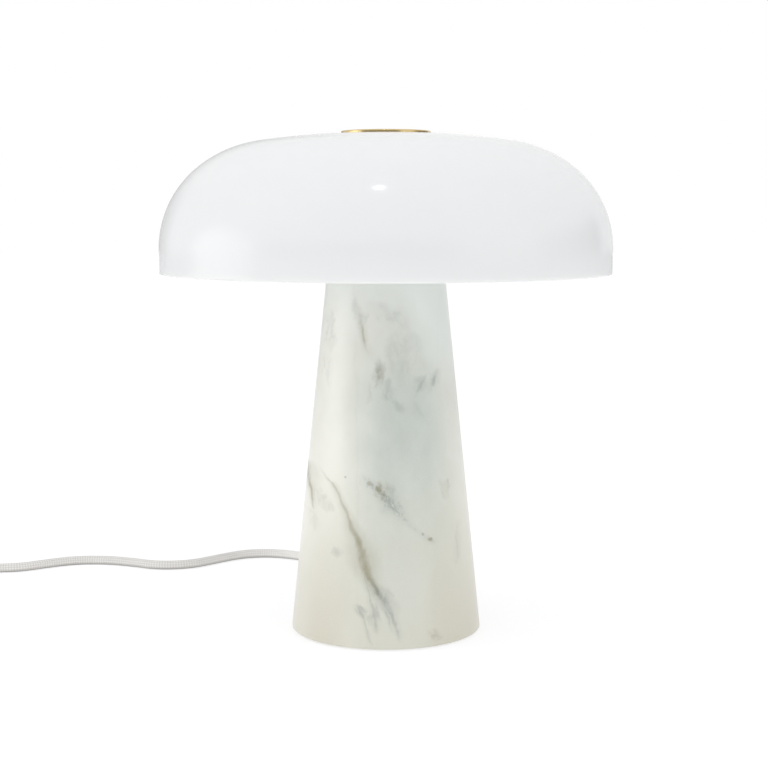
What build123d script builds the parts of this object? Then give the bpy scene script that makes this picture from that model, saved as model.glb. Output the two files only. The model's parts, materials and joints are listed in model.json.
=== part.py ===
from build123d import *
import math
import os

# Table lamp: an opal glass dome on a tapered marble base, with a textile mains cord.
# Millimetres, +Z up. The origin is on the table, under the middle of the base.
# The cord leaves the base at the back, +Y, and runs off to the left, -X.

# Clearances
running_gap = 0.10
assembly_gap = 0.20
glass_gap = 0.30
seat_play = 0.10

# Marble base
base_foot_radius = 64.05
base_top_radius = 39.10
base_height = 243.0
base_arris = 1.2
plate_rim_wall = 5.7
chamber_ledge = 16.0
chamber_height = 39.5
bore_room = 1.0

# Base plate and felt
felt_thickness = 2.0
felt_proud = 1.0
plate_thickness = 2.5
insert_radius = 3.5
insert_length = 12.0
plate_screw_radius = 2.0
plate_screw_head = 4.0
plate_screw_length = 10.0
plate_screw_count = 3
plate_screw_first = 30

# Tie tube with its washer and nut, under the roof of the chamber
tube_radius = 5.0
tube_wall = 1.0
tie_washer_width = 11.0
tie_washer_thickness = 2.5
tie_nut_across_flats = 17.0
tie_nut_height = 4.0
tube_stub = 4.5

# Mains cord
cord_diameter = 7.0
cord_bore_gap = 0.05
cord_exit_height = 14.0
wire_radius = 1.1
wire_spread = 1.6
sheath_end = 18.0
wire_bend = 12.0
wire_top_bend = 3.0

# Cord bush at the back of the base
bush_wall = 1.8
bush_flange_width = 2.8
bush_flange_thickness = 3.0
bush_nose_length = 22.0
bush_nose_root_wall = 3.0
bush_nose_tip_wall = 1.0
spot_face_room = 0.6

# Cord anchor on the base plate
anchor_length = 30.0
anchor_width = 10.0
anchor_wall_room = 4.3
anchor_bar_cover = 3.0
anchor_screw_radius = 1.5
anchor_screw_head = 2.75
anchor_screw_head_height = 2.0
anchor_screw_spread = 10.0

# E27 bulb
bulb_cap_radius = 13.2
bulb_cap_wall = 0.5
bulb_tip_radius = 4.5
bulb_tip_height = 1.5
bulb_insulator_height = 3.8
bulb_insulator_radius = 11.5
bulb_collar_radius = 20.5
bulb_collar_height = 18.0
bulb_collar_wall = 1.5
bulb_globe_radius = 22.5
bulb_globe_wall = 1.2
bulb_board_thickness = 1.5
bulb_pitch = 3.629
bulb_turns = 4

# E27 lampholder
shell_gap = 0.4
shell_wall = 0.4
sleeve_wall = 5.6
sleeve_step = 2.2
spigot_wall = 1.8
socket_depth = 26.4
rim_proud = 1.0
collar_dip = 0.5
contact_height = 1.6
contact_radius = 2.5
contact_foot_radius = 5.0
contact_foot_height = 0.6
shell_floor_hole = 7.0
insert_thickness = 10.0
holder_shoulder = 0.5
holder_waist = 5.5
holder_cone = 6.0
holder_neck_length = 12.0
holder_neck_wall = 3.0
tube_engaged = 10.0
ring_flange = 7.2
ring_height = 4.5
ring_chamfer = 0.8
pocket_room = 2.7
terminal_screw_radius = 1.4
terminal_screw_head = 2.6
terminal_screw_head_height = 1.8
terminal_spread = 8.0
terminal_back = 6.0

# Carrier: plate, three posts, seat and stud
carrier_thickness = 2.5
carrier_edge = 4.5
post_radius = 2.5
post_room = 2.0
post_count = 3
post_first = 90
bulb_room = 4.5
carrier_screw_radius = 1.5
carrier_screw_head = 2.75
carrier_screw_length = 8.0
seat_thickness = 2.5
seat_edge = 4.0
stud_radius = 4.0
stud_head_across_flats = 13.0
stud_head_height = 3.0
stud_head_room = 5.2

# Gasket between seat and glass, with a spigot that centres the shade
gasket_thickness = 1.5
gasket_width = 18.3
spigot_sleeve_wall = 2.3
spigot_gap = 0.4
spigot_short = 0.2

# Glass shade
shade_radius = 149.9
shoulder_radius = 68.8
shoulder_turn = 50.1
crown_radius = 81.3
crown_turn = 82.2
skirt_height = 16.0
glass_wall = 4.5
land_boss = 0.9
land_grind = 1.0
lip_round = 1.4

# Brass cap and the washer under it
cap_radius = 29.6
cap_edge = 1.8
cap_edge_round = 0.7
cap_rim_width = 2.2
cap_washer_thickness = 0.8
cap_lift = 0.2
boss_wall = 2.9
boss_room = 0.9
cap_skin = 1.0

# In-line switch, on the cord past the left of the lamp
switch_x = -352.0
switch_back = 86.0
switch_length = 62.0
switch_width = 26.0
switch_height = 17.0
switch_wall = 1.8
switch_corner = 8.0
switch_edge_round = 2.5
switch_axis_height = 7.5
switch_lead = 16.0
switch_nose_length = 20.0
switch_nose_root = 5.2
switch_nose_tip = 4.3
switch_neck = 4.4
switch_flange = 5.4
switch_flange_thickness = 2.0
switch_screw_radius = 1.4
switch_screw_head = 2.6
switch_screw_head_height = 1.8
switch_boss_wall = 1.6
switch_boss_end = 9.0
switch_boss_side = 5.5
rocker_length = 19.6
rocker_width = 11.0
rocker_gap = 0.5
rocker_drop = 3.8
rocker_end_rise = 4.2
rocker_valley_rise = 3.0
rocker_end_depth = 0.8
rocker_keel = 3.5
rocker_keel_half = 3.0
rocker_tilt = 7.5
pivot_radius = 1.2
pivot_reach = 1.8
ear_thickness = 2.2
ear_half_width = 3.0
ear_below = 2.2
bridge_length = 12.0
bridge_width = 4.0
bridge_thickness = 0.6
terminal_length = 7.0
terminal_width = 6.0
terminal_height = 5.4
terminal_from_middle = 14.0

# Coil of spare cord, in two layers
coil_radius = 46.0
coil_whole_turns = 4
coil_side_gap = 0.7
coil_layer_gap = 0.6
coil_middle_x = switch_x - coil_radius
coil_middle_y = -60.0

# Strap round the coil
strap_thickness = 1.0
strap_width = 10.0
strap_side_gap = 0.9
strap_flat_gap = 0.3
strap_turn = 0.75

# Flat two-pin plug
plug_length = 36.0
plug_width = 35.3
plug_thickness = 13.7
plug_rear_width = 15.0
plug_shoulder = 19.0
plug_edge_round = 3.0
plug_side_step = -2.0
tail_run = 16.0
tail_fall = 20.0
plug_nose_length = 20.0
plug_nose_root = 5.5
plug_nose_tip = 4.3
pin_radius = 2.0
pin_length = 19.0
pin_spacing = 18.6
pin_neck_radius = 1.4
pin_root = 8.0
pin_tip_round = 1.2
pin_sleeve_length = 10.0
pin_sleeve_radius = 1.8

# Levels, from the table upwards
cord_radius = cord_diameter / 2
plate_low = felt_thickness
plate_top = plate_low + plate_thickness
marble_low = felt_proud
marble_top = marble_low + base_height
chamber_top = plate_top + chamber_height
carrier_top = marble_top + carrier_thickness
rim_top = carrier_top + ring_height + rim_proud
contact_top = rim_top - socket_depth
insert_top = contact_top - contact_height
insert_low = insert_top - insert_thickness
sleeve_low = insert_low - holder_shoulder
holder_low = sleeve_low - holder_waist - holder_cone - holder_neck_length
tube_top = holder_low + tube_engaged
pocket_low = holder_low - assembly_gap - bore_room
tie_washer_low = chamber_top - tie_washer_thickness
tie_nut_low = tie_washer_low - tie_nut_height
tube_low = tie_nut_low - tube_stub

# Bulb levels: it rises by its thread and has to stay below the stud
tip_low = contact_top + seat_play
insulator_low = tip_low + bulb_tip_height
bulb_cap_low = insulator_low + bulb_insulator_height
collar_low = rim_top - collar_dip
collar_top = collar_low + bulb_collar_height
globe_middle = collar_top + math.sqrt(bulb_globe_radius**2 - bulb_collar_radius**2)
bulb_top = globe_middle + bulb_globe_radius
bulb_travel = bulb_pitch * bulb_turns

# Seat, glass and cap levels
stud_head_low = bulb_top + bulb_travel + stud_head_room
seat_low = stud_head_low + stud_head_height
seat_top = seat_low + seat_thickness
gasket_top = seat_top + gasket_thickness
crown_top = gasket_top + land_boss + glass_wall
land_top = crown_top - land_grind
cap_low = land_top + cap_lift
cap_ceiling = land_top + cap_washer_thickness
cap_top = cap_low + cap_edge
boss_low = seat_top + boss_room
stud_bore_top = cap_top - cap_skin
stud_top = stud_bore_top - assembly_gap

# Radii that follow from the fits
plate_recess_radius = base_foot_radius - plate_rim_wall
plate_radius = plate_recess_radius - assembly_gap
chamber_radius = plate_recess_radius - chamber_ledge
insert_circle = chamber_radius + chamber_ledge / 2
anchor_reach = math.sqrt((chamber_radius - anchor_wall_room) ** 2 - (anchor_length / 2) ** 2)
anchor_back = anchor_reach - anchor_width / 2
shell_inner = bulb_cap_radius + shell_gap
shell_outer = shell_inner + shell_wall
sleeve_bore = shell_outer + assembly_gap
holder_radius = sleeve_bore + sleeve_wall
spigot_radius = sleeve_bore + sleeve_step
spigot_inner = spigot_radius - spigot_wall
holder_insert_radius = spigot_inner - running_gap
ring_bore = holder_radius + running_gap
ring_radius = holder_radius + ring_flange
post_circle = max(ring_radius, bulb_globe_radius + bulb_room) + post_room + post_radius
carrier_radius = post_circle + carrier_edge
seat_radius = post_circle + seat_edge
boss_radius = stud_radius + running_gap + boss_wall
gasket_bore = boss_radius + spigot_gap
gasket_spigot_radius = gasket_bore + spigot_sleeve_wall
glass_hole_radius = gasket_spigot_radius + glass_gap
gasket_radius = gasket_spigot_radius + gasket_width
cord_bore = cord_radius + cord_bore_gap
bush_shank_radius = cord_bore + bush_wall
bush_flange_radius = bush_shank_radius + bush_flange_width


# Helpers

def save(name, shape):
    """Write one node and print how many solids it holds."""
    export_step(shape, f"parts/{name}.step")
    print(name, "solids", len(shape.solids()), "volume", round(shape.volume, 1))


def disc(radius, low, high):
    """A cylinder on the Z axis between two levels."""
    bottom = (Align.CENTER, Align.CENTER, Align.MIN)
    return Pos(0, 0, low) * Cylinder(radius, high - low, align=bottom)


def ring(outer, inner, low, high):
    """A tube on the Z axis between two levels."""
    return disc(outer, low, high) - disc(inner, low, high)


def turned(*outline):
    """A solid of revolution about Z, from (radius, level) points."""
    return revolve(Plane.XZ * make_face(Polyline(*outline, close=True)), Axis.Z)


def hexagon(across_flats, low, high):
    """A hexagonal prism on the Z axis."""
    flat = RegularPolygon(across_flats / 2, 6, major_radius=False)
    return Pos(0, 0, low) * extrude(flat, amount=high - low)


def around(shape, radius, count, first):
    """Copies of a shape, spaced evenly round the Z axis."""
    step = 360 / count
    return Part() + [Rot(0, 0, first + step * i) * Pos(radius, 0, 0) * shape for i in range(count)]


def countersunk_screw(shank, head, length):
    """A screw with a 90 degree head, flush at level 0 and pointing down."""
    cone = head - shank
    return turned((0, 0), (head, 0), (shank, -cone), (shank, -length), (0, -length))


def countersunk_hole(shank, head, length, gap):
    """The room that such a screw needs, open at level 0."""
    wide = head + gap
    narrow = shank + gap
    cone = wide - narrow
    return turned((0, 0), (wide, 0), (narrow, -cone), (narrow, -length), (0, -length))


def cheese_screw(shank, head, head_height, length):
    """A screw with a flat round head above level 0 and its shank below."""
    return disc(head, 0, head_height) + disc(shank, -length, 0)


def base_radius_at(level):
    """The radius of the marble cone at a level."""
    share = (level - marble_low) / base_height
    return base_foot_radius + share * (base_top_radius - base_foot_radius)


# Marble base

along_back = Pos(0, 0, cord_exit_height) * Rot(-90, 0, 0)
spot_face_radius = bush_flange_radius + assembly_gap
spot_level = cord_exit_height + spot_face_radius
spot_face_back = math.sqrt(base_radius_at(spot_level) ** 2 - spot_face_radius**2) - spot_face_room


def marble_base():
    """The cone with its plate recess, wiring chamber, bore, holder pocket and cord hole."""
    cone = turned(
        (0, marble_low),
        (base_foot_radius, marble_low),
        (base_top_radius, marble_top),
        (0, marble_top),
    )
    rims = cone.edges().group_by(Axis.Z)
    cone = fillet(rims[0] + rims[-1], base_arris)
    cone -= disc(plate_recess_radius, marble_low, plate_top)
    cone -= disc(chamber_radius, plate_top, chamber_top)
    cone -= disc(tube_radius + bore_room, chamber_top, pocket_low)
    cone -= disc(holder_radius + pocket_room, pocket_low, marble_top)
    insert_hole = disc(insert_radius + running_gap, plate_top, plate_top + insert_length)
    cone -= around(insert_hole, insert_circle, plate_screw_count, plate_screw_first)
    cone -= along_back * disc(bush_shank_radius + running_gap, 0, base_foot_radius)
    cone -= along_back * disc(spot_face_radius, spot_face_back, base_foot_radius)
    return cone


def base_plate():
    """The steel disc that closes the wiring chamber."""
    plate = disc(plate_radius, plate_low, plate_top)
    hole = countersunk_hole(plate_screw_radius, plate_screw_head, plate_screw_length, running_gap)
    upside_down = Pos(0, 0, plate_low) * Rot(180, 0, 0) * hole
    plate -= around(upside_down, insert_circle, plate_screw_count, plate_screw_first)
    tapped = disc(anchor_screw_radius + running_gap, plate_low, plate_top)
    for side in (-1, 1):
        plate -= Pos(side * anchor_screw_spread, anchor_back, 0) * tapped
    return plate


def base_plate_screws():
    """Three countersunk screws, up through the plate."""
    screw = countersunk_screw(plate_screw_radius, plate_screw_head, plate_screw_length)
    return around(Pos(0, 0, plate_low) * Rot(180, 0, 0) * screw, insert_circle, plate_screw_count, plate_screw_first)


def base_plate_inserts():
    """Three brass inserts in the marble, tapped for the plate screws."""
    insert = ring(insert_radius, plate_screw_radius + running_gap, plate_top, plate_top + insert_length)
    return around(insert, insert_circle, plate_screw_count, plate_screw_first)


save("marble_base", marble_base())
save("base_plate", base_plate())
save("base_plate_screws", base_plate_screws())
save("base_plate_inserts", base_plate_inserts())
save("felt_pad", disc(plate_radius, 0, felt_thickness))

# Tie tube: it pulls the lampholder down on the marble

tube_hole = tube_radius + running_gap
save("tie_tube", ring(tube_radius, tube_radius - tube_wall, tube_low, tube_top))
save("tie_washer", ring(tube_radius + tie_washer_width, tube_hole, tie_washer_low, chamber_top))
tie_nut_thread = disc(tube_hole, tie_nut_low, tie_washer_low)
save("tie_nut", hexagon(tie_nut_across_flats, tie_nut_low, tie_washer_low) - tie_nut_thread)

# Cord bush, the cord's sheathed end and its anchor

bush_flange_back = spot_face_back + bush_flange_thickness
bush_nose_back = bush_flange_back + bush_nose_length
bush_front = chamber_radius


def cord_bush():
    """The strain relief: a shank in the marble, a flange on the spot face and a tapered nose."""
    body = turned(
        (cord_bore, bush_front),
        (bush_shank_radius, bush_front),
        (bush_shank_radius, spot_face_back),
        (bush_flange_radius, spot_face_back),
        (bush_flange_radius, bush_flange_back),
        (cord_bore + bush_nose_root_wall, bush_flange_back),
        (cord_bore + bush_nose_tip_wall, bush_nose_back),
        (cord_bore, bush_nose_back),
    )
    return along_back * body


def cord_anchor(low, high):
    """One half of the clamp round the cord, between two levels."""
    middle = (Align.CENTER, Align.CENTER, Align.MIN)
    block = Pos(0, anchor_back, low) * Box(anchor_length, anchor_width, high - low, align=middle)
    block -= along_back * disc(cord_bore, 0, chamber_radius)
    hole = disc(anchor_screw_radius + running_gap, low, high)
    for side in (-1, 1):
        block -= Pos(side * anchor_screw_spread, anchor_back, 0) * hole
    return block


def cord_anchor_screws():
    """Two screws, through bar and block into the plate."""
    length = anchor_top - plate_low
    screw = cheese_screw(anchor_screw_radius, anchor_screw_head, anchor_screw_head_height, length)
    places = [Pos(side * anchor_screw_spread, anchor_back, anchor_top) for side in (-1, 1)]
    return Part() + [place * screw for place in places]


def wire(side):
    """One conductor, from the sheath's end up the tie tube to its terminal in the lampholder."""
    x = side * wire_spread
    far_x = side * terminal_spread
    splay_low = tube_top + wire_radius
    splay_high = insert_low - wire_top_bend
    points = [
        (x, sheath_end, cord_exit_height),
        (x, 0, cord_exit_height),
        (x, 0, splay_low),
        (far_x, 0, splay_high),
        (far_x, 0, insert_low),
    ]
    path = FilletPolyline(*points, radius=[wire_bend, wire_top_bend, wire_top_bend])
    return sweep(Plane(origin=path @ 0, z_dir=path % 0) * Circle(wire_radius), path=path)


anchor_top = cord_exit_height + cord_radius + anchor_bar_cover
save("cord_bush", cord_bush())
save("inner_cord", along_back * disc(cord_radius, sheath_end, bush_nose_back))
save("cord_anchor_block", cord_anchor(plate_top, cord_exit_height - running_gap))
save("cord_anchor_bar", cord_anchor(cord_exit_height + running_gap, anchor_top))
save("cord_anchor_screws", cord_anchor_screws())
save("line_wire", wire(-1))
save("neutral_wire", wire(1))

# Lampholder

def holder_cap():
    """The lower shell: a neck on the tie tube, a cone, and a spigot inside the sleeve."""
    neck_top = holder_low + holder_neck_length
    cone_top = neck_top + holder_cone
    return turned(
        (tube_hole, holder_low),
        (tube_hole + holder_neck_wall, holder_low),
        (tube_hole + holder_neck_wall, neck_top),
        (holder_radius, cone_top),
        (holder_radius, sleeve_low),
        (spigot_radius - running_gap, sleeve_low),
        (spigot_radius - running_gap, insert_top),
        (spigot_inner, insert_top),
        (spigot_inner, cone_top + holder_waist / 2),
        (tube_hole, neck_top),
    )


def holder_insert():
    """The ceramic block that carries the contacts and the terminal screws."""
    block = disc(holder_insert_radius, insert_low, insert_top)
    hole = disc(terminal_screw_radius + running_gap, insert_low, insert_top - holder_shoulder)
    for side in (-1, 1):
        block -= Pos(side * terminal_spread, terminal_back, 0) * hole
    return block


def terminal_screws():
    """Two terminal screws, up into the insert."""
    length = insert_thickness - 2 * holder_shoulder
    screw = cheese_screw(terminal_screw_radius, terminal_screw_head, terminal_screw_head_height, length)
    places = [Pos(side * terminal_spread, terminal_back, insert_low) for side in (-1, 1)]
    return Part() + [place * Rot(180, 0, 0) * screw for place in places]


def holder_sleeve():
    """The outer sleeve, threaded outside for the clamp ring."""
    return turned(
        (spigot_radius, sleeve_low),
        (holder_radius, sleeve_low),
        (holder_radius, rim_top),
        (sleeve_bore, rim_top),
        (sleeve_bore, insert_top + assembly_gap),
        (spigot_radius, insert_top + assembly_gap),
    )


def holder_ring():
    """The clamp ring that holds the carrier plate down on the marble."""
    body = ring(ring_radius, ring_bore, carrier_top, carrier_top + ring_height)
    outer_top = body.edges().group_by(Axis.Z)[-1].sort_by(SortBy.RADIUS)[-1]
    return chamfer(outer_top, ring_chamfer)


def holder_shell():
    """The brass screw shell, a cup with a hole in its floor."""
    floor = ring(shell_outer, shell_floor_hole, insert_top, insert_top + shell_wall)
    return floor + ring(shell_outer, shell_inner, insert_top, rim_top - holder_shoulder)


def centre_contact():
    """The brass button under the bulb's tip."""
    foot = disc(contact_foot_radius, insert_top, insert_top + contact_foot_height)
    return foot + disc(contact_radius, insert_top, contact_top)


save("holder_cap", holder_cap())
save("holder_insert", holder_insert())
save("terminal_screws", terminal_screws())
save("holder_sleeve", holder_sleeve())
save("holder_ring", holder_ring())
save("holder_shell", holder_shell())
save("centre_contact", centre_contact())

# Bulb

bulb_neck_radius = bulb_cap_radius - bulb_cap_wall - running_gap


def bulb_insulator():
    """The glass cone between tip and screw cap."""
    return turned(
        (0, insulator_low),
        (bulb_tip_radius + assembly_gap, insulator_low),
        (bulb_insulator_radius, bulb_cap_low),
        (0, bulb_cap_low),
    )


def bulb_collar():
    """The plastic collar, with a spigot inside the screw cap and a cup for the board."""
    flare_low = rim_top + assembly_gap
    board_low = collar_top - bulb_board_thickness
    inner = bulb_collar_radius - bulb_collar_wall
    return turned(
        (0, collar_low - bulb_insulator_height),
        (bulb_neck_radius, collar_low - bulb_insulator_height),
        (bulb_neck_radius, collar_low),
        (bulb_cap_radius, collar_low),
        (bulb_cap_radius, flare_low),
        (bulb_collar_radius, collar_top),
        (inner, collar_top),
        (inner, board_low),
        (0, board_low),
    )


def bulb_globe():
    """The opal globe, a thin ball cut off at the collar."""
    ball = Pos(0, 0, globe_middle) * (Sphere(bulb_globe_radius) - Sphere(bulb_globe_radius - bulb_globe_wall))
    return ball - disc(bulb_globe_radius, globe_middle - bulb_globe_radius, collar_top)


board_radius = bulb_collar_radius - bulb_collar_wall - running_gap
save("bulb_tip", disc(bulb_tip_radius, tip_low, insulator_low))
save("bulb_insulator", bulb_insulator())
save("bulb_screw_cap", ring(bulb_cap_radius, bulb_cap_radius - bulb_cap_wall, bulb_cap_low, collar_low))
save("bulb_collar", bulb_collar())
save("bulb_board", disc(board_radius, collar_top - bulb_board_thickness, collar_top))
save("bulb_globe", bulb_globe())

# Carrier for the shade

seat_hole = stud_radius + cord_bore_gap


def carrier_plate():
    """The plate on top of the marble, under the clamp ring."""
    plate = ring(carrier_radius, holder_radius + assembly_gap, marble_top, carrier_top)
    hole = countersunk_hole(carrier_screw_radius, carrier_screw_head, carrier_screw_length, running_gap)
    return plate - around(Pos(0, 0, marble_top) * Rot(180, 0, 0) * hole, post_circle, post_count, post_first)


def carrier_posts():
    """Three posts, tapped at both ends."""
    post = disc(post_radius, carrier_top, seat_low)
    tapped = carrier_screw_radius + running_gap
    depth = carrier_screw_length - carrier_thickness + assembly_gap
    post -= disc(tapped, carrier_top, carrier_top + depth)
    post -= disc(tapped, seat_low - carrier_screw_length + seat_thickness - assembly_gap, seat_low)
    return around(post, post_circle, post_count, post_first)


def carrier_screws():
    """Three screws up through the carrier plate, and three down through the seat."""
    screw = countersunk_screw(carrier_screw_radius, carrier_screw_head, carrier_screw_length)
    lower = Pos(0, 0, marble_top) * Rot(180, 0, 0) * screw
    upper = Pos(0, 0, seat_top) * screw
    return around(lower, post_circle, post_count, post_first) + around(upper, post_circle, post_count, post_first)


def shade_seat():
    """The disc on top of the posts that carries the shade."""
    seat = ring(seat_radius, seat_hole, seat_low, seat_top)
    hole = countersunk_hole(carrier_screw_radius, carrier_screw_head, carrier_screw_length, running_gap)
    return seat - around(Pos(0, 0, seat_top) * hole, post_circle, post_count, post_first)


def seat_stud():
    """The threaded stud for the cap, with its hexagon head under the seat."""
    return hexagon(stud_head_across_flats, stud_head_low, seat_low) + disc(stud_radius, seat_low, stud_top)


def seat_gasket():
    """A soft ring on the seat, with a spigot that centres the glass."""
    spigot_top = land_top - spigot_short
    return turned(
        (gasket_bore, seat_top),
        (gasket_radius, seat_top),
        (gasket_radius, gasket_top),
        (gasket_spigot_radius, gasket_top),
        (gasket_spigot_radius, spigot_top),
        (gasket_bore, spigot_top),
    )


save("carrier_plate", carrier_plate())
save("carrier_posts", carrier_posts())
save("carrier_screws", carrier_screws())
save("shade_seat", shade_seat())
save("seat_stud", seat_stud())
save("seat_gasket", seat_gasket())

# Glass shade: shoulder, crown and dome are tangent arcs, and the inside is the same arcs less the wall

shoulder_middle_r = shade_radius - shoulder_radius
crown_offset = shoulder_radius - crown_radius
crown_middle_r = shoulder_middle_r + crown_offset * math.cos(math.radians(shoulder_turn))
dome_start_r = crown_middle_r + crown_radius * math.cos(math.radians(crown_turn))
dome_radius = dome_start_r / math.cos(math.radians(crown_turn))
dome_middle_z = crown_top - dome_radius
crown_middle_z = dome_middle_z + (dome_radius - crown_radius) * math.sin(math.radians(crown_turn))
shoulder_middle_z = crown_middle_z - crown_offset * math.sin(math.radians(shoulder_turn))
shade_rim = shoulder_middle_z - skirt_height


def dome_land(radius, level):
    """Where the dome of a radius meets a level: its distance from the axis, and its angle."""
    out = math.sqrt(radius**2 - (level - dome_middle_z) ** 2)
    return out, math.degrees(math.atan2(level - dome_middle_z, out))


def shade_arcs(wall, land_angle):
    """The three arcs of one side of the wall, from the skirt to the ground land."""
    shoulder = CenterArc((shoulder_middle_r, shoulder_middle_z), shoulder_radius - wall, 0, shoulder_turn)
    crown_sweep = crown_turn - shoulder_turn
    crown = CenterArc((crown_middle_r, crown_middle_z), crown_radius - wall, shoulder_turn, crown_sweep)
    dome = CenterArc((0, dome_middle_z), dome_radius - wall, crown_turn, land_angle - crown_turn)
    return shoulder + crown + dome


def glass_shade():
    """The blown dome, with flat ground lands round its hole and a rounded lip."""
    outer_land, outer_angle = dome_land(dome_radius, land_top)
    inner_land, inner_angle = dome_land(dome_radius - glass_wall, gasket_top)
    inner_radius = shade_radius - glass_wall
    outline = shade_arcs(0, outer_angle) + shade_arcs(glass_wall, inner_angle)
    outline += Line((shade_radius, shoulder_middle_z), (shade_radius, shade_rim))
    outline += Line((shade_radius, shade_rim), (inner_radius, shade_rim))
    outline += Line((inner_radius, shade_rim), (inner_radius, shoulder_middle_z))
    outline += Line((outer_land, land_top), (glass_hole_radius, land_top))
    outline += Line((glass_hole_radius, land_top), (glass_hole_radius, gasket_top))
    outline += Line((glass_hole_radius, gasket_top), (inner_land, gasket_top))
    glass = revolve(Plane.XZ * make_face(outline), Axis.Z)
    return fillet(glass.edges().group_by(Axis.Z)[0], min(lip_round, 0.45 * glass_wall))


save("glass_shade", glass_shade())

# Brass cap and its washer

def brass_cap():
    """A thin lid with a tapped boss, hollowed below for the washer."""
    recess = cap_radius - cap_rim_width
    body = turned(
        (boss_radius, cap_ceiling),
        (recess, cap_ceiling),
        (recess, cap_low),
        (cap_radius, cap_low),
        (cap_radius, cap_top),
        (0, cap_top),
        (0, stud_bore_top),
        (stud_radius + running_gap, stud_bore_top),
        (stud_radius + running_gap, boss_low),
        (boss_radius, boss_low),
    )
    return fillet(body.edges().group_by(Axis.Z)[-1], min(cap_edge_round, 0.8 * cap_edge))


cap_washer_radius = cap_radius - cap_rim_width - assembly_gap
save("cap_washer", ring(cap_washer_radius, boss_radius + running_gap, land_top, cap_ceiling))
save("brass_cap", brass_cap())

# In-line switch: its length is along X here, and it is turned to lie along Y

switch_middle_y = switch_back - switch_nose_length - switch_length / 2
switch_place = Pos(switch_x, switch_middle_y, 0) * Rot(0, 0, 90)
switch_front = switch_middle_y - switch_length / 2 - switch_nose_length
switch_half = switch_length / 2
switch_top_low = switch_height - switch_wall
pivot_height = switch_height - rocker_drop
switch_boss_x = switch_half - switch_boss_end
switch_boss_y = switch_width / 2 - switch_boss_side
switch_boss_radius = switch_screw_radius + running_gap + switch_boss_wall
screw_seat = switch_wall + switch_screw_head_height


def switch_corners(shape, z):
    """The same shape at the two screw places, at opposite corners."""
    return Part() + [Pos(side * switch_boss_x, side * switch_boss_y, z) * shape for side in (-1, 1)]


def switch_shell(low, high, cavity_low, cavity_high):
    """A rounded box between two levels, with its cavity and the necks of the bushes cut out."""
    outline = RectangleRounded(switch_length, switch_width, switch_corner)
    inner_corner = switch_corner - switch_wall
    hollow = RectangleRounded(switch_length - 2 * switch_wall, switch_width - 2 * switch_wall, inner_corner)
    body = Pos(0, 0, low) * extrude(outline, amount=high - low)
    edges = body.edges().group_by(Axis.Z)
    outer_edges = edges[0] if low < switch_axis_height else edges[-1]
    body = fillet(outer_edges, min(switch_edge_round, 0.9 * switch_corner))
    body -= Pos(0, 0, cavity_low) * extrude(hollow, amount=cavity_high - cavity_low)
    neck = Cylinder(switch_neck + running_gap, switch_length)
    return body - Pos(0, 0, switch_axis_height) * Rot(0, 90, 0) * neck


def switch_lower():
    """The lower shell, with two bosses counterbored for the screws."""
    body = switch_shell(0, switch_axis_height, switch_wall, switch_axis_height)
    head_room = switch_screw_head + assembly_gap
    body += switch_corners(disc(head_room + switch_wall, 0, switch_axis_height - switch_wall), switch_wall)
    body -= switch_corners(disc(head_room, 0, screw_seat), 0)
    return body - switch_corners(disc(switch_screw_radius + running_gap, 0, switch_axis_height), 0)


def switch_upper():
    """The upper shell, with the rocker's window and ears, and two screw bosses."""
    body = switch_shell(switch_axis_height, switch_height, switch_axis_height, switch_top_low)
    boss = disc(switch_boss_radius, switch_axis_height, switch_top_low)
    bore = disc(switch_screw_radius + running_gap, switch_axis_height, switch_top_low)
    body += switch_corners(boss, 0)
    body -= switch_corners(bore, 0)
    window_length = rocker_reach * 2 + 2 * rocker_gap
    window = Rectangle(window_length, rocker_width + 2 * rocker_gap)
    body -= Pos(0, 0, switch_top_low) * extrude(window, amount=switch_wall)
    ear_height = switch_top_low - pivot_height + ear_below
    ear_middle = rocker_width / 2 + rocker_gap + ear_thickness / 2
    hanging = (Align.CENTER, Align.CENTER, Align.MAX)
    ear = Box(2 * ear_half_width, ear_thickness, ear_height, align=hanging)
    for side in (-1, 1):
        body += Pos(0, side * ear_middle, switch_top_low) * ear
    pivot_hole = Cylinder(pivot_radius + running_gap, rocker_width + 2 * rocker_gap + 2 * ear_thickness)
    return body - Pos(0, 0, pivot_height) * Rot(90, 0, 0) * pivot_hole


def rocker():
    """The rocker, tilted to off: a shallow V on top, a keel below and a pivot pin through it."""
    half = rocker_length / 2
    side_view = Polyline(
        (-half, rocker_end_rise),
        (0, rocker_valley_rise),
        (half, rocker_end_rise),
        (half, rocker_end_depth),
        (rocker_keel_half, -rocker_keel),
        (-rocker_keel_half, -rocker_keel),
        (-half, rocker_end_depth),
        close=True,
    )
    body = extrude(Plane.XZ * make_face(side_view), amount=rocker_width / 2, both=True)
    return body + Rot(90, 0, 0) * Cylinder(pivot_radius, rocker_width + 2 * rocker_gap + 2 * pivot_reach)


def bridge():
    """The moving contact, a strip under the rocker's keel."""
    under = (Align.CENTER, Align.CENTER, Align.MAX)
    return Pos(0, 0, -rocker_keel) * Box(bridge_length, bridge_width, bridge_thickness, align=under)


def switch_terminals():
    """Two terminal blocks on the floor of the lower shell."""
    standing = (Align.CENTER, Align.CENTER, Align.MIN)
    block = Box(terminal_length, terminal_width, terminal_height, align=standing)
    return Part() + [Pos(side * terminal_from_middle, 0, switch_wall) * block for side in (-1, 1)]


def switch_bushes():
    """Two soft noses, each gripped by the shells at its neck."""
    inside = -switch_wall - switch_flange_thickness
    nose = turned(
        (0, inside),
        (switch_flange, inside),
        (switch_flange, -switch_wall),
        (switch_neck, -switch_wall),
        (switch_neck, 0),
        (switch_nose_root, 0),
        (switch_nose_tip, switch_nose_length),
        (0, switch_nose_length),
    )
    noses = [Pos(side * switch_half, 0, switch_axis_height) * Rot(0, side * 90, 0) * nose for side in (-1, 1)]
    return Part() + noses


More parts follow.
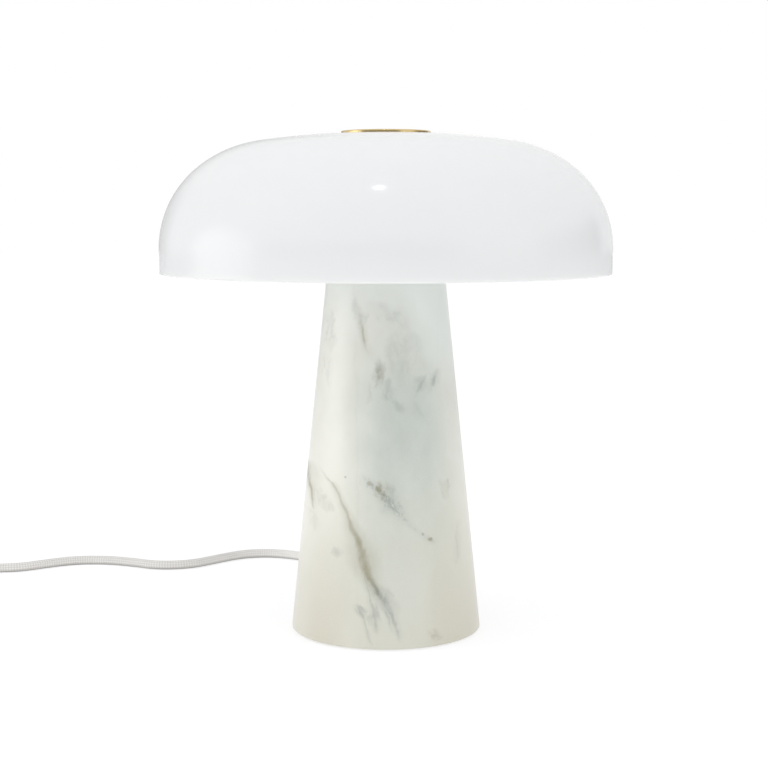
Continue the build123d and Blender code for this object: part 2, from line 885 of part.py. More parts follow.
rocker_reach = rocker_length / 2 + rocker_end_rise * math.sin(math.radians(rocker_tilt))
rocker_place = switch_place * Pos(0, 0, pivot_height) * Rot(0, -rocker_tilt, 0)
switch_screw_shank = switch_top_low - screw_seat - assembly_gap
switch_screw = cheese_screw(switch_screw_radius, switch_screw_head, switch_screw_head_height, switch_screw_shank)
save("switch_lower", switch_place * switch_lower())
save("switch_upper", switch_place * switch_upper())
save("switch_rocker", rocker_place * rocker())
save("switch_bridge", rocker_place * bridge())
save("switch_terminals", switch_place * switch_terminals())
save("switch_bushes", switch_place * switch_bushes())
save("switch_screws", switch_place * switch_corners(Rot(180, 0, 0) * switch_screw, screw_seat))

# Coil of spare cord: it winds in on the table, climbs while it turns round, and winds out on top

coil_pitch = cord_diameter + coil_side_gap
layer_rise = cord_diameter + coil_layer_gap
coil_low = strap_thickness + strap_flat_gap + cord_radius
coil_high = coil_low + layer_rise
coil_lean = math.atan(coil_pitch / (2 * math.pi * coil_radius))
coil_turns = coil_whole_turns + 0.5 + coil_lean / math.pi
quarter_turns = 4 * coil_whole_turns + 2


def coil_radius_at(turn):
    """How far from the coil's middle the cord lies after a count of turns."""
    past_middle = turn - coil_turns / 2
    if abs(past_middle) < 0.25:
        wound_in = coil_turns / 2 - 0.125 - 2 * past_middle**2
    else:
        wound_in = coil_turns / 2 - abs(past_middle)
    return coil_radius - coil_pitch * wound_in


def coil_point(turn):
    """A point on the middle line of the coil. The turns run clockwise, seen from above."""
    angle = coil_lean - 2 * math.pi * turn
    out = coil_radius_at(turn)
    climb = min(max(2 * (turn - coil_turns / 2) + 0.5, 0), 1)
    level = coil_low + layer_rise * climb**2 * (3 - 2 * climb)
    return Vector(coil_middle_x + out * math.cos(angle), coil_middle_y + out * math.sin(angle), level)


def coil_direction(turn):
    """The direction of the cord at a count of turns."""
    step = 1e-4
    before = max(turn - step, 0)
    after = min(turn + step, coil_turns)
    return (coil_point(after) - coil_point(before)).normalized()


def biarc(start, start_way, end, end_way):
    """Two arcs, tangent to each other, that join two points with given directions."""
    chord = end - start
    both = start_way + end_way
    bend = 2 * (1 - start_way.dot(end_way))
    along = chord.dot(both)
    reach = (math.sqrt(along**2 + bend * chord.dot(chord)) - along) / bend
    first = start + start_way * reach
    second = end - end_way * reach
    middle = (first + second) * 0.5
    return [
        Edge.make_tangent_arc(start, start_way, middle),
        Edge.make_tangent_arc(middle, second - first, end),
    ]


def cord_along(path):
    """The cord's round section swept along a path."""
    return sweep(Plane(origin=path @ 0, z_dir=path % 0) * Circle(cord_radius), path=path)


def cord_coil():
    """One unbroken tube: a biarc for each quarter turn, and a straight end of one diameter each side."""
    stations = [coil_turns * i / quarter_turns for i in range(quarter_turns + 1)]
    points = [coil_point(turn) for turn in stations]
    ways = [coil_direction(turn) for turn in stations]
    ways[0] = Vector(0, -1, 0)
    ways[-1] = Vector(0, 1, 0)
    edges = [Edge.make_line(points[0] - ways[0] * cord_diameter, points[0])]
    for i in range(quarter_turns):
        edges += biarc(points[i], ways[i], points[i + 1], ways[i + 1])
    edges.append(Edge.make_line(points[-1], points[-1] + ways[-1] * cord_diameter))
    path = Wire(edges)
    coil = cord_along(path)
    area = math.pi * cord_radius**2
    print("cord_coil length", round(path.length, 1))
    print("cord_coil volume over section and length", coil.volume / area / path.length)
    return coil


def coil_self_gap():
    """The least gap between turns, measured on points of the middle line."""
    per_turn = 90
    count = int(coil_turns * per_turn)
    points = [coil_point(i / per_turn) for i in range(count + 1)]
    apart = per_turn // 2
    least = min((points[i] - points[j]).length for i in range(count + 1) for j in range(i + apart, count + 1))
    return least - cord_diameter


print("cord_coil least gap to itself", round(coil_self_gap(), 3))
save("cord_coil", cord_coil())

# Free cord: straight runs joined by arcs as large as the runs allow

coil_start = coil_point(0) + Vector(0, cord_diameter, 0)
coil_end = coil_point(coil_turns) + Vector(0, cord_diameter, 0)
plug_axis_height = plug_thickness / 2
plug_x = coil_end.X + plug_side_step
lead_in = switch_front - coil_start.Y
lead_level = 0.31 * lead_in
plug_nose_back = coil_end.Y + 2 * tail_run + tail_fall

lamp_side_route = [
    (0, bush_nose_back, cord_exit_height),
    (0, 103, cord_exit_height),
    (-2, 122, 11),
    (-8, 143, cord_radius),
    (-21, 163, cord_radius),
    (-38, 181, cord_radius),
    (-59, 197, cord_radius),
    (-81, 211.5, cord_radius),
    (-99.5, 215.5, cord_radius),
    (-118.5, 210, cord_radius),
    (-136, 192.5, cord_radius),
    (-154.5, 173.5, cord_radius),
    (-180, 169.5, cord_radius),
    (-201.5, 181.5, cord_radius),
    (-224, 189.5, cord_radius),
    (-249, 188.5, cord_radius),
    (-269.5, 176, cord_radius),
    (-287, 162.5, cord_radius),
    (-308.5, 160.5, cord_radius),
    (-329, 152.5, cord_radius),
    (-344, 137.5, cord_radius),
    (-351, 118, cord_radius),
    (switch_x, switch_back + switch_lead, switch_axis_height),
    (switch_x, switch_back, switch_axis_height),
]
plug_side_route = [
    (switch_x, switch_front, switch_axis_height),
    (switch_x, switch_front - lead_level, switch_axis_height),
    (switch_x, coil_start.Y + lead_level, coil_low),
    (switch_x, coil_start.Y, coil_low),
]
tail_route = [
    (coil_end.X, coil_end.Y, coil_high),
    (coil_end.X, coil_end.Y + tail_run, coil_high),
    (plug_x, coil_end.Y + tail_run + tail_fall, plug_axis_height),
    (plug_x, plug_nose_back, plug_axis_height),
]


def corner_radius(before, corner, after):
    """The largest arc that a corner of the route takes."""
    run_in = Vector(corner) - Vector(before)
    run_out = Vector(after) - Vector(corner)
    turn = math.radians(run_in.get_angle(run_out))
    return 0.45 * min(run_in.length, run_out.length) / math.tan(turn / 2)


def free_cord(name, route):
    """A tube along one stretch of the route, with its radii printed."""
    radii = [corner_radius(*route[i - 1:i + 2]) for i in range(1, len(route) - 1)]
    path = FilletPolyline(*route, radius=radii)
    tube = cord_along(path)
    area = math.pi * cord_radius**2
    print(name, "radii", [round(r, 1) for r in radii])
    print(name, "length", round(path.length, 1))
    print(name, "volume over section and length", tube.volume / area / path.length)
    return tube


save("cord_lamp_side", free_cord("cord_lamp_side", lamp_side_route))
save("cord_plug_side", free_cord("cord_plug_side", plug_side_route))
save("cord_tail", free_cord("cord_tail", tail_route))

# Strap round the coil, where two turns lie on two

def coil_strap():
    """A flat band closed round the turns, square to them."""
    inner_turn = coil_radius_at(strap_turn + 1) - cord_radius - strap_side_gap
    outer_turn = coil_radius_at(strap_turn) + cord_radius + strap_side_gap
    low = coil_low - cord_radius - strap_flat_gap
    high = coil_high + cord_radius + strap_flat_gap
    across = outer_turn - inner_turn
    tall = high - low
    hole = RectangleRounded(across, tall, cord_radius)
    rim = strap_thickness
    band = RectangleRounded(across + 2 * rim, tall + 2 * rim, cord_radius + rim)
    flat = extrude(Plane.YZ * (band - hole), amount=strap_width / 2, both=True)
    return Pos(coil_middle_x, coil_middle_y + (inner_turn + outer_turn) / 2, (low + high) / 2) * flat


save("coil_strap", coil_strap())

# Plug: its length is along X here, and it is turned so that its pins point along +Y

plug_back = plug_nose_back + plug_nose_length
plug_place = Pos(plug_x, plug_back, plug_axis_height) * Rot(0, 0, 90)


def plug_body():
    """The flat moulded body, narrow at the cord and wide at the pins."""
    half = plug_width / 2
    rear = plug_rear_width / 2
    outline = Polyline(
        (0, -rear),
        (plug_shoulder, -half),
        (plug_length, -half),
        (plug_length, half),
        (plug_shoulder, half),
        (0, rear),
        close=True,
    )
    body = extrude(make_face(outline), amount=plug_thickness / 2, both=True)
    sides = body.faces().filter_by(lambda face: abs(face.normal_at().Y) > 0.1)
    flat_edges = [edge for face in sides for edge in face.edges().filter_by(Plane.XY)]
    body = fillet(flat_edges, plug_edge_round)
    root = Rot(0, 90, 0) * disc(pin_neck_radius + running_gap, plug_length - pin_root, plug_length)
    for side in (-1, 1):
        body -= Pos(0, side * pin_spacing / 2, 0) * root
    return body


def plug_pair(shape):
    """The same shape for both pins, pointing out of the plug's face."""
    return Part() + [Pos(plug_length, side * pin_spacing / 2, 0) * Rot(0, 90, 0) * shape for side in (-1, 1)]


def plug_pin():
    """One pin: a bare round tip, a neck under its sleeve and a root in the body."""
    return turned(
        (0, -pin_root),
        (pin_neck_radius, -pin_root),
        (pin_neck_radius, pin_sleeve_length),
        (pin_radius, pin_sleeve_length),
        (pin_radius, pin_length - pin_tip_round),
        (pin_radius - pin_tip_round, pin_length),
        (0, pin_length),
    )


def plug_bush():
    """The tapered strain relief behind the plug."""
    nose = turned((0, 0), (plug_nose_root, 0), (plug_nose_tip, plug_nose_length), (0, plug_nose_length))
    return Rot(0, -90, 0) * nose


pin_sleeve = ring(pin_sleeve_radius, pin_neck_radius + running_gap, 0, pin_sleeve_length)
save("plug_body", plug_place * plug_body())
save("plug_bush", plug_place * plug_bush())
save("plug_pins", plug_place * plug_pair(plug_pin()))
save("plug_pin_sleeves", plug_place * plug_pair(pin_sleeve))

print("shade rim", shade_rim, "crown", crown_top, "cap top", cap_top, "dome radius", dome_radius)
print("bulb top", bulb_top, "bulb travel", bulb_travel, "stud top", stud_top, "boss low", boss_low)
print("rocker pivot", switch_x, switch_middle_y, pivot_height)
print("plug", plug_x, plug_back, plug_axis_height)
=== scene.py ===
# %% [markdown]
# A table lamp with a wide opal glass shade, a thin brass cap and a tapered marble base.
# The solids come from a CAD model and are loaded as a fixed frame that nothing here moves.
# Each step below takes one piece or one finish of the lamp, says how the real one is made,
# and then models it in the same place, in metres, with Z up and the lamp's axis on Z.

# %% Load the solids
import json
import math

import bmesh
import bpy
from mathutils import Matrix, Vector


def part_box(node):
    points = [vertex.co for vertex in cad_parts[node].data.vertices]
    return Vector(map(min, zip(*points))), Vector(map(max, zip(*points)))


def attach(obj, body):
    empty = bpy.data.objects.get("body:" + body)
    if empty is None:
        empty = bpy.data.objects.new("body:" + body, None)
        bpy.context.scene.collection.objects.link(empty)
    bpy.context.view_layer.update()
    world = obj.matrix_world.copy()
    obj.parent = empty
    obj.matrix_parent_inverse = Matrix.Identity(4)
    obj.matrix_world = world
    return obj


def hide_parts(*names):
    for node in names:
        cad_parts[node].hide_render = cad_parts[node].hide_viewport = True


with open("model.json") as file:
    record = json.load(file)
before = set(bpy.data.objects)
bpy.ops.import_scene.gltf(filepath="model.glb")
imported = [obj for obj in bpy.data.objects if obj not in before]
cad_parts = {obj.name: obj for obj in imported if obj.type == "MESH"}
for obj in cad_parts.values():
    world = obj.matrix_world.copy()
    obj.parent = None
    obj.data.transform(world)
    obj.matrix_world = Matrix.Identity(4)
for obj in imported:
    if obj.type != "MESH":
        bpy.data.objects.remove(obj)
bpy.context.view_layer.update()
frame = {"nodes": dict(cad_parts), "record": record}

# %% [markdown]
# A piece that is modelled here stands for one or more solids of the frame: it rides on their
# body and hides them. One helper does that for every such piece.

# %% Pieces that stand for solids
slot_of = {part["node"]: part["material_slot"] for part in frame["record"]["subparts"]}
bodies = frame["record"]["behaviour"]["bodies"]
body_of = {node: body for body, nodes in bodies.items() for node in nodes}


def place_piece(name, mesh):
    """Put a mesh, or the data of a lamp, into the scene."""
    piece = bpy.data.objects.new(name, mesh)
    bpy.context.scene.collection.objects.link(piece)
    return piece


def stand_for(piece, *nodes):
    """Make a piece stand for solids: same body, and the solids hidden."""
    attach(piece, body_of[nodes[0]])
    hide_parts(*nodes)


print("bodies:", list(bodies))

# %% [markdown]
# A finish is a graph of shader nodes. Linking them one by one is long and hard to read,
# so a small class wraps a socket and lets it stand in a sum: 1 - mask adds a Math node.
# Every other kind of node comes from one method, which sets the node's own options first
# and then fills its sockets with values or links.

# %% Sockets that take part in sums
class Wire:
    """A shader socket in a Python sum, where each operator adds one Math node."""

    def __init__(self, finish, socket):
        self.finish = finish
        self.socket = socket

    def __add__(self, other):
        return self.finish.math("ADD", self, other)

    def __sub__(self, other):
        return self.finish.math("SUBTRACT", self, other)

    def __rsub__(self, other):
        return self.finish.math("SUBTRACT", other, self)

    def __mul__(self, other):
        return self.finish.math("MULTIPLY", self, other)

    def __truediv__(self, other):
        return self.finish.math("DIVIDE", self, other)

    def __mod__(self, other):
        return self.finish.math("FLOORED_MODULO", self, other)

    def __pow__(self, other):
        return self.finish.math("POWER", self, other)

    def __abs__(self):
        return self.finish.math("ABSOLUTE", self)

    __radd__ = __add__
    __rmul__ = __mul__

# %% A finish under construction
class Finish:
    """The node graph of a material, a world or a lamp."""

    def __init__(self, owner):
        owner.use_nodes = True
        self.owner = owner
        self.tree = owner.node_tree
        self.tree.nodes.clear()

    def node(self, kind, settings=None, sockets=None, out=0):
        """Add a node, with its settings first and then the values or wires of its sockets."""
        made = self.tree.nodes.new(kind)
        for name, value in (settings or {}).items():
            if name == "points":
                draw_curve(made.mapping, value)
            else:
                setattr(made, name, value)
        for name, value in (sockets or {}).items():
            if isinstance(value, Wire):
                self.tree.links.new(value.socket, made.inputs[name])
            else:
                made.inputs[name].default_value = value
        if isinstance(out, list):
            return [Wire(self, made.outputs[name]) for name in out]
        return Wire(self, made.outputs[out])

    def math(self, operation, *values):
        """A sum of one or two values."""
        return self.node("ShaderNodeMath", {"operation": operation}, dict(enumerate(values)))

    def mix(self, share, first, second):
        """A colour between two, by a share from 0 to 1."""
        return self.node("ShaderNodeMix", {"data_type": "RGBA"}, {0: share, 6: first, 7: second}, 2)

    def step(self, value, low, high):
        """0 at low, 1 at high, and a smooth rise between them."""
        sockets = {"Value": value, "From Min": low, "From Max": high}
        return self.node("ShaderNodeMapRange", {"interpolation_type": "SMOOTHSTEP"}, sockets)

    def curve(self, value, points):
        """A line drawn through given points from 0 to 1."""
        return self.node("ShaderNodeFloatCurve", {"points": points}, {"Value": value})

    def place(self):
        """The point on the piece, in metres."""
        return self.node("ShaderNodeTexCoord", out="Object")

    def stretch(self, place, by):
        """The same point with each axis scaled."""
        return self.node("ShaderNodeVectorMath", {"operation": "MULTIPLY"}, {0: place, 1: by})

    def split(self, place):
        """The three parts of a point."""
        return self.node("ShaderNodeSeparateXYZ", sockets={0: place}, out=["X", "Y", "Z"])

    def noise(self, place, size, detail=2.0, bend=0.0, pull=None):
        """Soft noise from 0 to 1, in lumps of about this size in metres. A pull above 1 along an axis
        makes them shorter that way, and one below 1 longer."""
        if pull:
            place = self.stretch(place, pull)
        sockets = {"Vector": place, "Scale": 1 / size, "Detail": detail, "Distortion": bend}
        return self.node("ShaderNodeTexNoise", sockets=sockets)

    def warp(self, place, size, amount):
        """The same point pushed about by noise, in lumps of a size, by up to half an amount."""
        noise = {"Vector": place, "Scale": 1 / size, "Detail": 2.0}
        push = self.node("ShaderNodeTexNoise", sockets=noise, out="Color")
        push = self.node("ShaderNodeVectorMath", {"operation": "SUBTRACT"}, {0: push, 1: (0.5, 0.5, 0.5)})
        push = self.stretch(push, (amount, amount, amount))
        return self.node("ShaderNodeVectorMath", {"operation": "ADD"}, {0: place, 1: push})

    def bump(self, height, depth):
        """A relief of this depth in metres."""
        return self.node("ShaderNodeBump", sockets={"Height": height, "Distance": depth}, out="Normal")

    def surface(self, sockets):
        """Close the graph with one glossy or matt surface."""
        shader = self.node("ShaderNodeBsdfPrincipled", sockets=sockets)
        return self.close(shader)

    def close(self, shader):
        """Send a shader to the output of the material, world or lamp."""
        ends = {bpy.types.World: "World", bpy.types.Light: "Light", bpy.types.Material: "Material"}
        kind = [word for owner, word in ends.items() if isinstance(self.owner, owner)][0]
        end = self.tree.nodes.new("ShaderNodeOutput" + kind)
        self.tree.links.new(shader.socket, end.inputs["Surface"])
        return self.owner


def draw_curve(mapping, points):
    """Give a curve node its points, from left to right. It keeps between them and runs on level."""
    line = mapping.curves[0]
    while len(line.points) < len(points):
        line.points.new(0.5, 0.5)
    for point, place in zip(line.points, points):
        point.location = place
        point.handle_type = "AUTO_CLAMPED"
    mapping.extend = "HORIZONTAL"
    mapping.update()


def tint(red, green, blue):
    """A colour as a paint chart gives it, from 0 to 255, turned into light."""
    def light(value):
        value = value / 255
        return value / 12.92 if value <= 0.04045 else ((value + 0.055) / 1.055) ** 2.4
    return (light(red), light(green), light(blue), 1.0)


def new_finish(name):
    """The graph of a new material, and the point on the piece in it."""
    finish = Finish(bpy.data.materials.new(name))
    return finish, finish.place()


print("white paper as light:", tint(240, 240, 238))

# %% [markdown]
# The camera stands where the picture was taken: level with the shade, a little over a metre
# away, and tipped down a few degrees. A lens is usually found by trial, but here its length
# follows from the size of the shade in the picture.

# %% Camera
picture_height = 776
focal_pixels = 1595.45
camera_place = (-0.0013, -1.0659, 0.2844)
camera_fall = 0.11282
lens_data = bpy.data.cameras.new("camera")
lens_data.sensor_width = 36.0
lens_data.lens = focal_pixels * lens_data.sensor_width / picture_height
camera = bpy.data.objects.new("camera", lens_data)
camera.location = camera_place
camera.rotation_euler = (math.pi / 2 - camera_fall, 0.0, 0.0)
bpy.context.scene.collection.objects.link(camera)
bpy.context.scene.camera = camera
bpy.context.scene.view_settings.view_transform = "Standard"
print("lens:", round(lens_data.lens, 2), "mm")

# %% [markdown]
# The studio is a white sweep under even light, a little stronger from the front. A wide soft
# lamp stands on the left, which draws the glow on the glass and the pale stripe on the stone,
# and a small lamp hangs overhead, which draws the spark on the glass. The dark right of the room
# with a lit strip in it, and two dark cards out of view, give the brass something to mirror. The
# sweep looks white to the camera, but lights the lamp at a plain level, so the finishes keep
# their colours.

# %% Floor
floor_radius = 9.0
paper_end = (0.9, 1.8)
paper_tail = (0.975, 0.93)
paper_grain = 0.4
bare_tint = (190, 190, 189)
shadow_tone = (0.40, 0.40, 0.41, 1.0)
table_glow = 0.17
white_glow = 0.68
bare_loss = 0.6


def white_in_view(finish):
    """1 for what the camera sees directly, in a reflection or through glass."""
    rays = ["Is Camera Ray", "Is Glossy Ray", "Is Transmission Ray"]
    seen, mirrored, through = finish.node("ShaderNodeLightPath", out=rays)
    return finish.math("MINIMUM", seen + mirrored + through, 1.0)


def floor_finish():
    """Paper round the lamp that runs on behind it, on a bare floor. What is seen of it glows, so it
    looks white and still takes the lamp's shadow."""
    finish, place = new_finish("studio_floor")
    mirrored = finish.node("ShaderNodeLightPath", out="Is Glossy Ray")
    x, y, unused = finish.split(place)
    out = finish.math("MAXIMUM", finish.math("SQRT", x * x + y * y), 0.001)
    bare = finish.step(out, *paper_end) * finish.step(y / out, *paper_tail)
    paper = finish.mix(finish.noise(place, paper_grain), tint(246, 246, 245), tint(250, 250, 249))
    paper = finish.mix(bare, paper, tint(*bare_tint))
    paper_light = finish.node("ShaderNodeBsdfDiffuse", sockets={"Color": paper})
    table_light = finish.node("ShaderNodeEmission", sockets={"Strength": table_glow * (1 - bare)})
    bounce = finish.node("ShaderNodeAddShader", sockets={0: paper_light, 1: table_light})
    shadow = finish.node("ShaderNodeBsdfDiffuse", sockets={"Color": shadow_tone})
    strength = white_glow * (1 - bare_loss * bare * mirrored)
    glow = finish.node("ShaderNodeEmission", sockets={"Strength": strength})
    white = finish.node("ShaderNodeAddShader", sockets={0: shadow, 1: glow})
    sides = {0: white_in_view(finish), 1: bounce, 2: white}
    return finish.close(finish.node("ShaderNodeMixShader", sockets=sides))


floor_mesh = bpy.data.meshes.new("floor")
floor_form = bmesh.new()
bmesh.ops.create_circle(floor_form, cap_ends=True, segments=64, radius=floor_radius)
floor_form.to_mesh(floor_mesh)
floor_form.free()
floor_mesh.materials.append(floor_finish())
floor = place_piece("floor", floor_mesh)
print("floor across:", max(floor.dimensions), "m")

# %% Lamps
def soft_lamp(name, place, aim, wide, tall, watts, fades=False):
    """A rectangular lamp that faces a point. One that fades is an oval glow, bright in its middle."""
    data = bpy.data.lights.new(name, "AREA")
    data.shape = "RECTANGLE"
    data.size = wide
    data.size_y = tall
    data.energy = watts
    if fades:
        glow = Finish(data)
        across, up, unused = glow.split(glow.node("ShaderNodeNewGeometry", out="Parametric"))
        out = (across * 2 - 1) ** 2 + (up * 2 - 1) ** 2
        glow.close(glow.node("ShaderNodeEmission", sockets={"Strength": glow.step(out, 1.0, 0.0)}))
    lamp = place_piece(name, data)
    lamp.location = place
    lamp.rotation_euler = (Vector(aim) - Vector(place)).to_track_quat("-Z", "Y").to_euler()


left_lamp_size = {"wide": 1.3, "tall": 1.0, "watts": 4.7}
top_lamp_size = {"wide": 0.055, "tall": 0.12, "watts": 1.6}
soft_lamp("left_lamp", (-1.34, -0.12, 0.28), (0, 0, 0.26), fades=True, **left_lamp_size)
soft_lamp("top_lamp", (-0.09, -0.84, 2.18), (0, 0, 0.3), **top_lamp_size)
print("lamps:", [item.name for item in bpy.data.lights])

# %% Room light
fill = 0.668
front_gain = 0.24
back_loss = 0.30
top_gain = 0.64
sheet_loss = 0.12
room_loss = 0.74
left_card_loss = 0.40
right_card_loss = 0.04


def studio_world():
    """White to the camera, and stronger in front. The glass and metal also mirror the dark right of
    the room with a lit strip in it, and two dark cards that stand out of view beside the sweep."""
    studio = Finish(bpy.data.worlds.new("studio"))
    x, y, z = studio.split(studio.node("ShaderNodeTexCoord", out="Generated"))
    mirrored = studio.node("ShaderNodeLightPath", out="Is Glossy Ray")
    flat = studio.math("MAXIMUM", studio.math("SQRT", x * x + y * y), 0.001)

    def towards(degrees):
        """1 in a direction, turned to the right from the camera's side, and -1 opposite."""
        turn = math.radians(degrees)
        return (x * math.sin(turn) - y * math.cos(turn)) / flat

    room = studio.step(towards(34), -0.30, -0.05) * studio.step(z, 0.30, 0.12)
    strip = studio.step(towards(58), 0.88, 0.975)
    left_card = left_card_loss * studio.step(towards(-158), 0.927, 0.97)
    right_card = right_card_loss * studio.step(towards(146), 0.86, 0.95)
    card = (left_card + right_card) * studio.step(z, 0.40, 0.10)
    light = 1 + front_gain * studio.step(y, 0.1, -1.0) - back_loss * studio.step(y, 0.0, 0.9)
    light = fill * (light + top_gain * studio.step(z, 0.2, 1.0)) * (1 - card)
    view = 1 - mirrored * (sheet_loss + (room_loss - sheet_loss) * room) * (1 - strip)
    view = view * (1 - mirrored * card)
    strength = light + white_in_view(studio) * (view - light)
    sockets = {"Color": (1.0, 1.0, 1.0, 1.0), "Strength": strength}
    return studio.close(studio.node("ShaderNodeBackground", sockets=sockets))


bpy.context.scene.world = studio_world()
print("room light:", fill)

# %% [markdown]
# The mains cord is a seven millimetre lead in a woven sleeve. It lies on the table in loose
# bends, passes through a switch, and its spare length is wound into a coil held by a strap.
# The route is a short list of points. A smooth spline runs near those points,
# and the tube follows the spline, so the cord bends like a cord and not like wire.

# %% Route of the cord
cord_radius = 0.0035
bush_end = (0.0, 0.08569, 0.014)
on_table = cord_radius
switch_x = -0.352
switch_back = 0.086
switch_front = -0.016
switch_level = 0.0075
switch_lead = 0.016
table_bends = [
    (-0.008, 0.143), (-0.021, 0.163), (-0.038, 0.181), (-0.059, 0.197), (-0.081, 0.2115),
    (-0.0995, 0.2155), (-0.1185, 0.210), (-0.136, 0.1925), (-0.1545, 0.1735), (-0.180, 0.1695),
    (-0.2015, 0.1815), (-0.224, 0.1895), (-0.249, 0.1885), (-0.2695, 0.176), (-0.287, 0.1625),
    (-0.3085, 0.1605), (-0.329, 0.1525), (-0.344, 0.1375), (-0.351, 0.118),
]
lamp_side_route = [
    bush_end,
    (0.0, 0.103, 0.014),
    (-0.002, 0.122, 0.011),
    *[(x, y, on_table) for x, y in table_bends],
    (switch_x, switch_back + switch_lead, switch_level),
    (switch_x, switch_back, switch_level),
]
print("points from the base to the switch:", len(lamp_side_route))

# %% Coil of spare cord
coil_radius = 0.046
coil_pitch = 0.0077
coil_low = 0.0048
coil_rise = 0.0076
coil_middle = (switch_x - coil_radius, -0.060)
coil_lean = math.atan(coil_pitch / (2 * math.pi * coil_radius))
coil_turns = 4.5 + coil_lean / math.pi
points_per_turn = 24
turning_back = 0.25


def coil_point(turn):
    """A point of the coil. It winds in on the table, climbs one layer and winds out again."""
    past_middle = turn - coil_turns / 2
    wound_in = coil_turns / 2 - abs(past_middle)
    if abs(past_middle) < turning_back:
        wound_in = coil_turns / 2 - turning_back / 2 - past_middle**2 / (2 * turning_back)
    out = (coil_radius - coil_pitch * wound_in) / math.cos(math.pi / points_per_turn) ** 0.5
    angle = coil_lean - 2 * math.pi * turn
    climb = min(max((past_middle + turning_back) / (2 * turning_back), 0), 1)
    level = coil_low + coil_rise * climb**2 * (3 - 2 * climb)
    return (coil_middle[0] + out * math.cos(angle), coil_middle[1] + out * math.sin(angle), level)


coil_steps = round(coil_turns * points_per_turn)
coil_route = [coil_point(coil_turns * step / coil_steps) for step in range(coil_steps + 1)]
print("coil turns:", round(coil_turns, 2), "points:", len(coil_route))

# %% Ends of the coil
coil_start_y = coil_route[0][1] + 2 * cord_radius
coil_end_x = coil_route[-1][0]
coil_end_y = coil_route[-1][1] + 2 * cord_radius
coil_high = coil_low + coil_rise
lead_share = 0.31
lead_run = lead_share * (switch_front - coil_start_y)
plug_level = 0.00685
plug_shift = 0.002
plug_x = coil_end_x - plug_shift
tail_run = 0.016
tail_fall = 0.020
plug_side_route = [
    (switch_x, switch_front, switch_level),
    (switch_x, switch_front - lead_run, switch_level),
    (switch_x, coil_start_y + lead_run, coil_low),
    (switch_x, coil_start_y, coil_low),
    *coil_route,
    (coil_end_x, coil_end_y, coil_high),
    (coil_end_x, coil_end_y + tail_run, coil_high),
    (plug_x, coil_end_y + tail_run + tail_fall, plug_level),
    (plug_x, coil_end_y + 2 * tail_run + tail_fall, plug_level),
]
print("points from the switch to the plug:", len(plug_side_route))

# %% Tubes along the route
def curve_mesh(name, kind, places, **settings):
    """The mesh that a curve with one open spline makes."""
    data = bpy.data.curves.new(name, "CURVE")
    data.dimensions = "3D"
    for setting, value in settings.items():
        setattr(data, setting, value)
    spline = data.splines.new(kind)
    spline.points.add(len(places) - 1)
    for point, place in zip(spline.points, places):
        point.co = (*place, 1.0)
    if kind == "NURBS":
        spline.order_u = 3
        spline.use_endpoint_u = True
    holder = bpy.data.objects.new(name, data)
    mesh = bpy.data.meshes.new_from_object(holder)
    bpy.data.objects.remove(holder)
    bpy.data.curves.remove(data)
    return mesh


def smooth_line(name, route):
    """The points of a smooth spline that has the route as its control points."""
    line = curve_mesh(name, "NURBS", route, resolution_u=10)
    points = [vertex.co.copy() for vertex in line.vertices]
    bpy.data.meshes.remove(line)
    return points


def length_along(points):
    """How far along the line each point lies."""
    far = [0.0]
    for before, after in zip(points, points[1:]):
        far.append(far[-1] + (after - before).length)
    return far


def cord_tube(name, points, start):
    """A round tube along the line. Its texture map runs in metres from a start and in turns around."""
    mesh = curve_mesh(name + "_line", "POLY", points, bevel_depth=cord_radius, bevel_resolution=6)
    mesh.name = name
    far = length_along(points)
    for corner in mesh.uv_layers[0].data:
        ring = round(corner.uv[0] * (len(points) - 1))
        corner.uv = (start + far[ring], corner.uv[1])
    form = bmesh.new()
    form.from_mesh(mesh)
    bmesh.ops.holes_fill(form, edges=form.edges, sides=0)
    bmesh.ops.recalc_face_normals(form, faces=form.faces)
    form.to_mesh(mesh)
    form.free()
    mesh.shade_smooth()
    return place_piece(name, mesh)


lamp_side_line = smooth_line("lamp_side_line", lamp_side_route)
plug_side_line = smooth_line("plug_side_line", plug_side_route)
lamp_side_length = length_along(lamp_side_line)[-1]
plug_side_length = length_along(plug_side_line)[-1]
past_switch = lamp_side_length + switch_back - switch_front
lamp_side_cord = cord_tube("lamp_side_cord", lamp_side_line, 0.0)
plug_side_cord = cord_tube("plug_side_cord", plug_side_line, past_switch)
print("cord lengths:", round(lamp_side_length, 3), round(plug_side_length, 3))

# %% [markdown]
# Most of the lamp is turned or blown, so it is round about one axis. Such a piece could be
# cut from cylinders and spheres, but a lathe is nearer to the real work: the half outline is
# drawn once, with its arcs as arcs, and then spun round the axis and merged at the seam.

# %% A lathe
sharp_edge = math.radians(40)


def verts_in(geom):
    """The points among what an operator gives back."""
    return [part for part in geom if isinstance(part, bmesh.types.BMVert)]


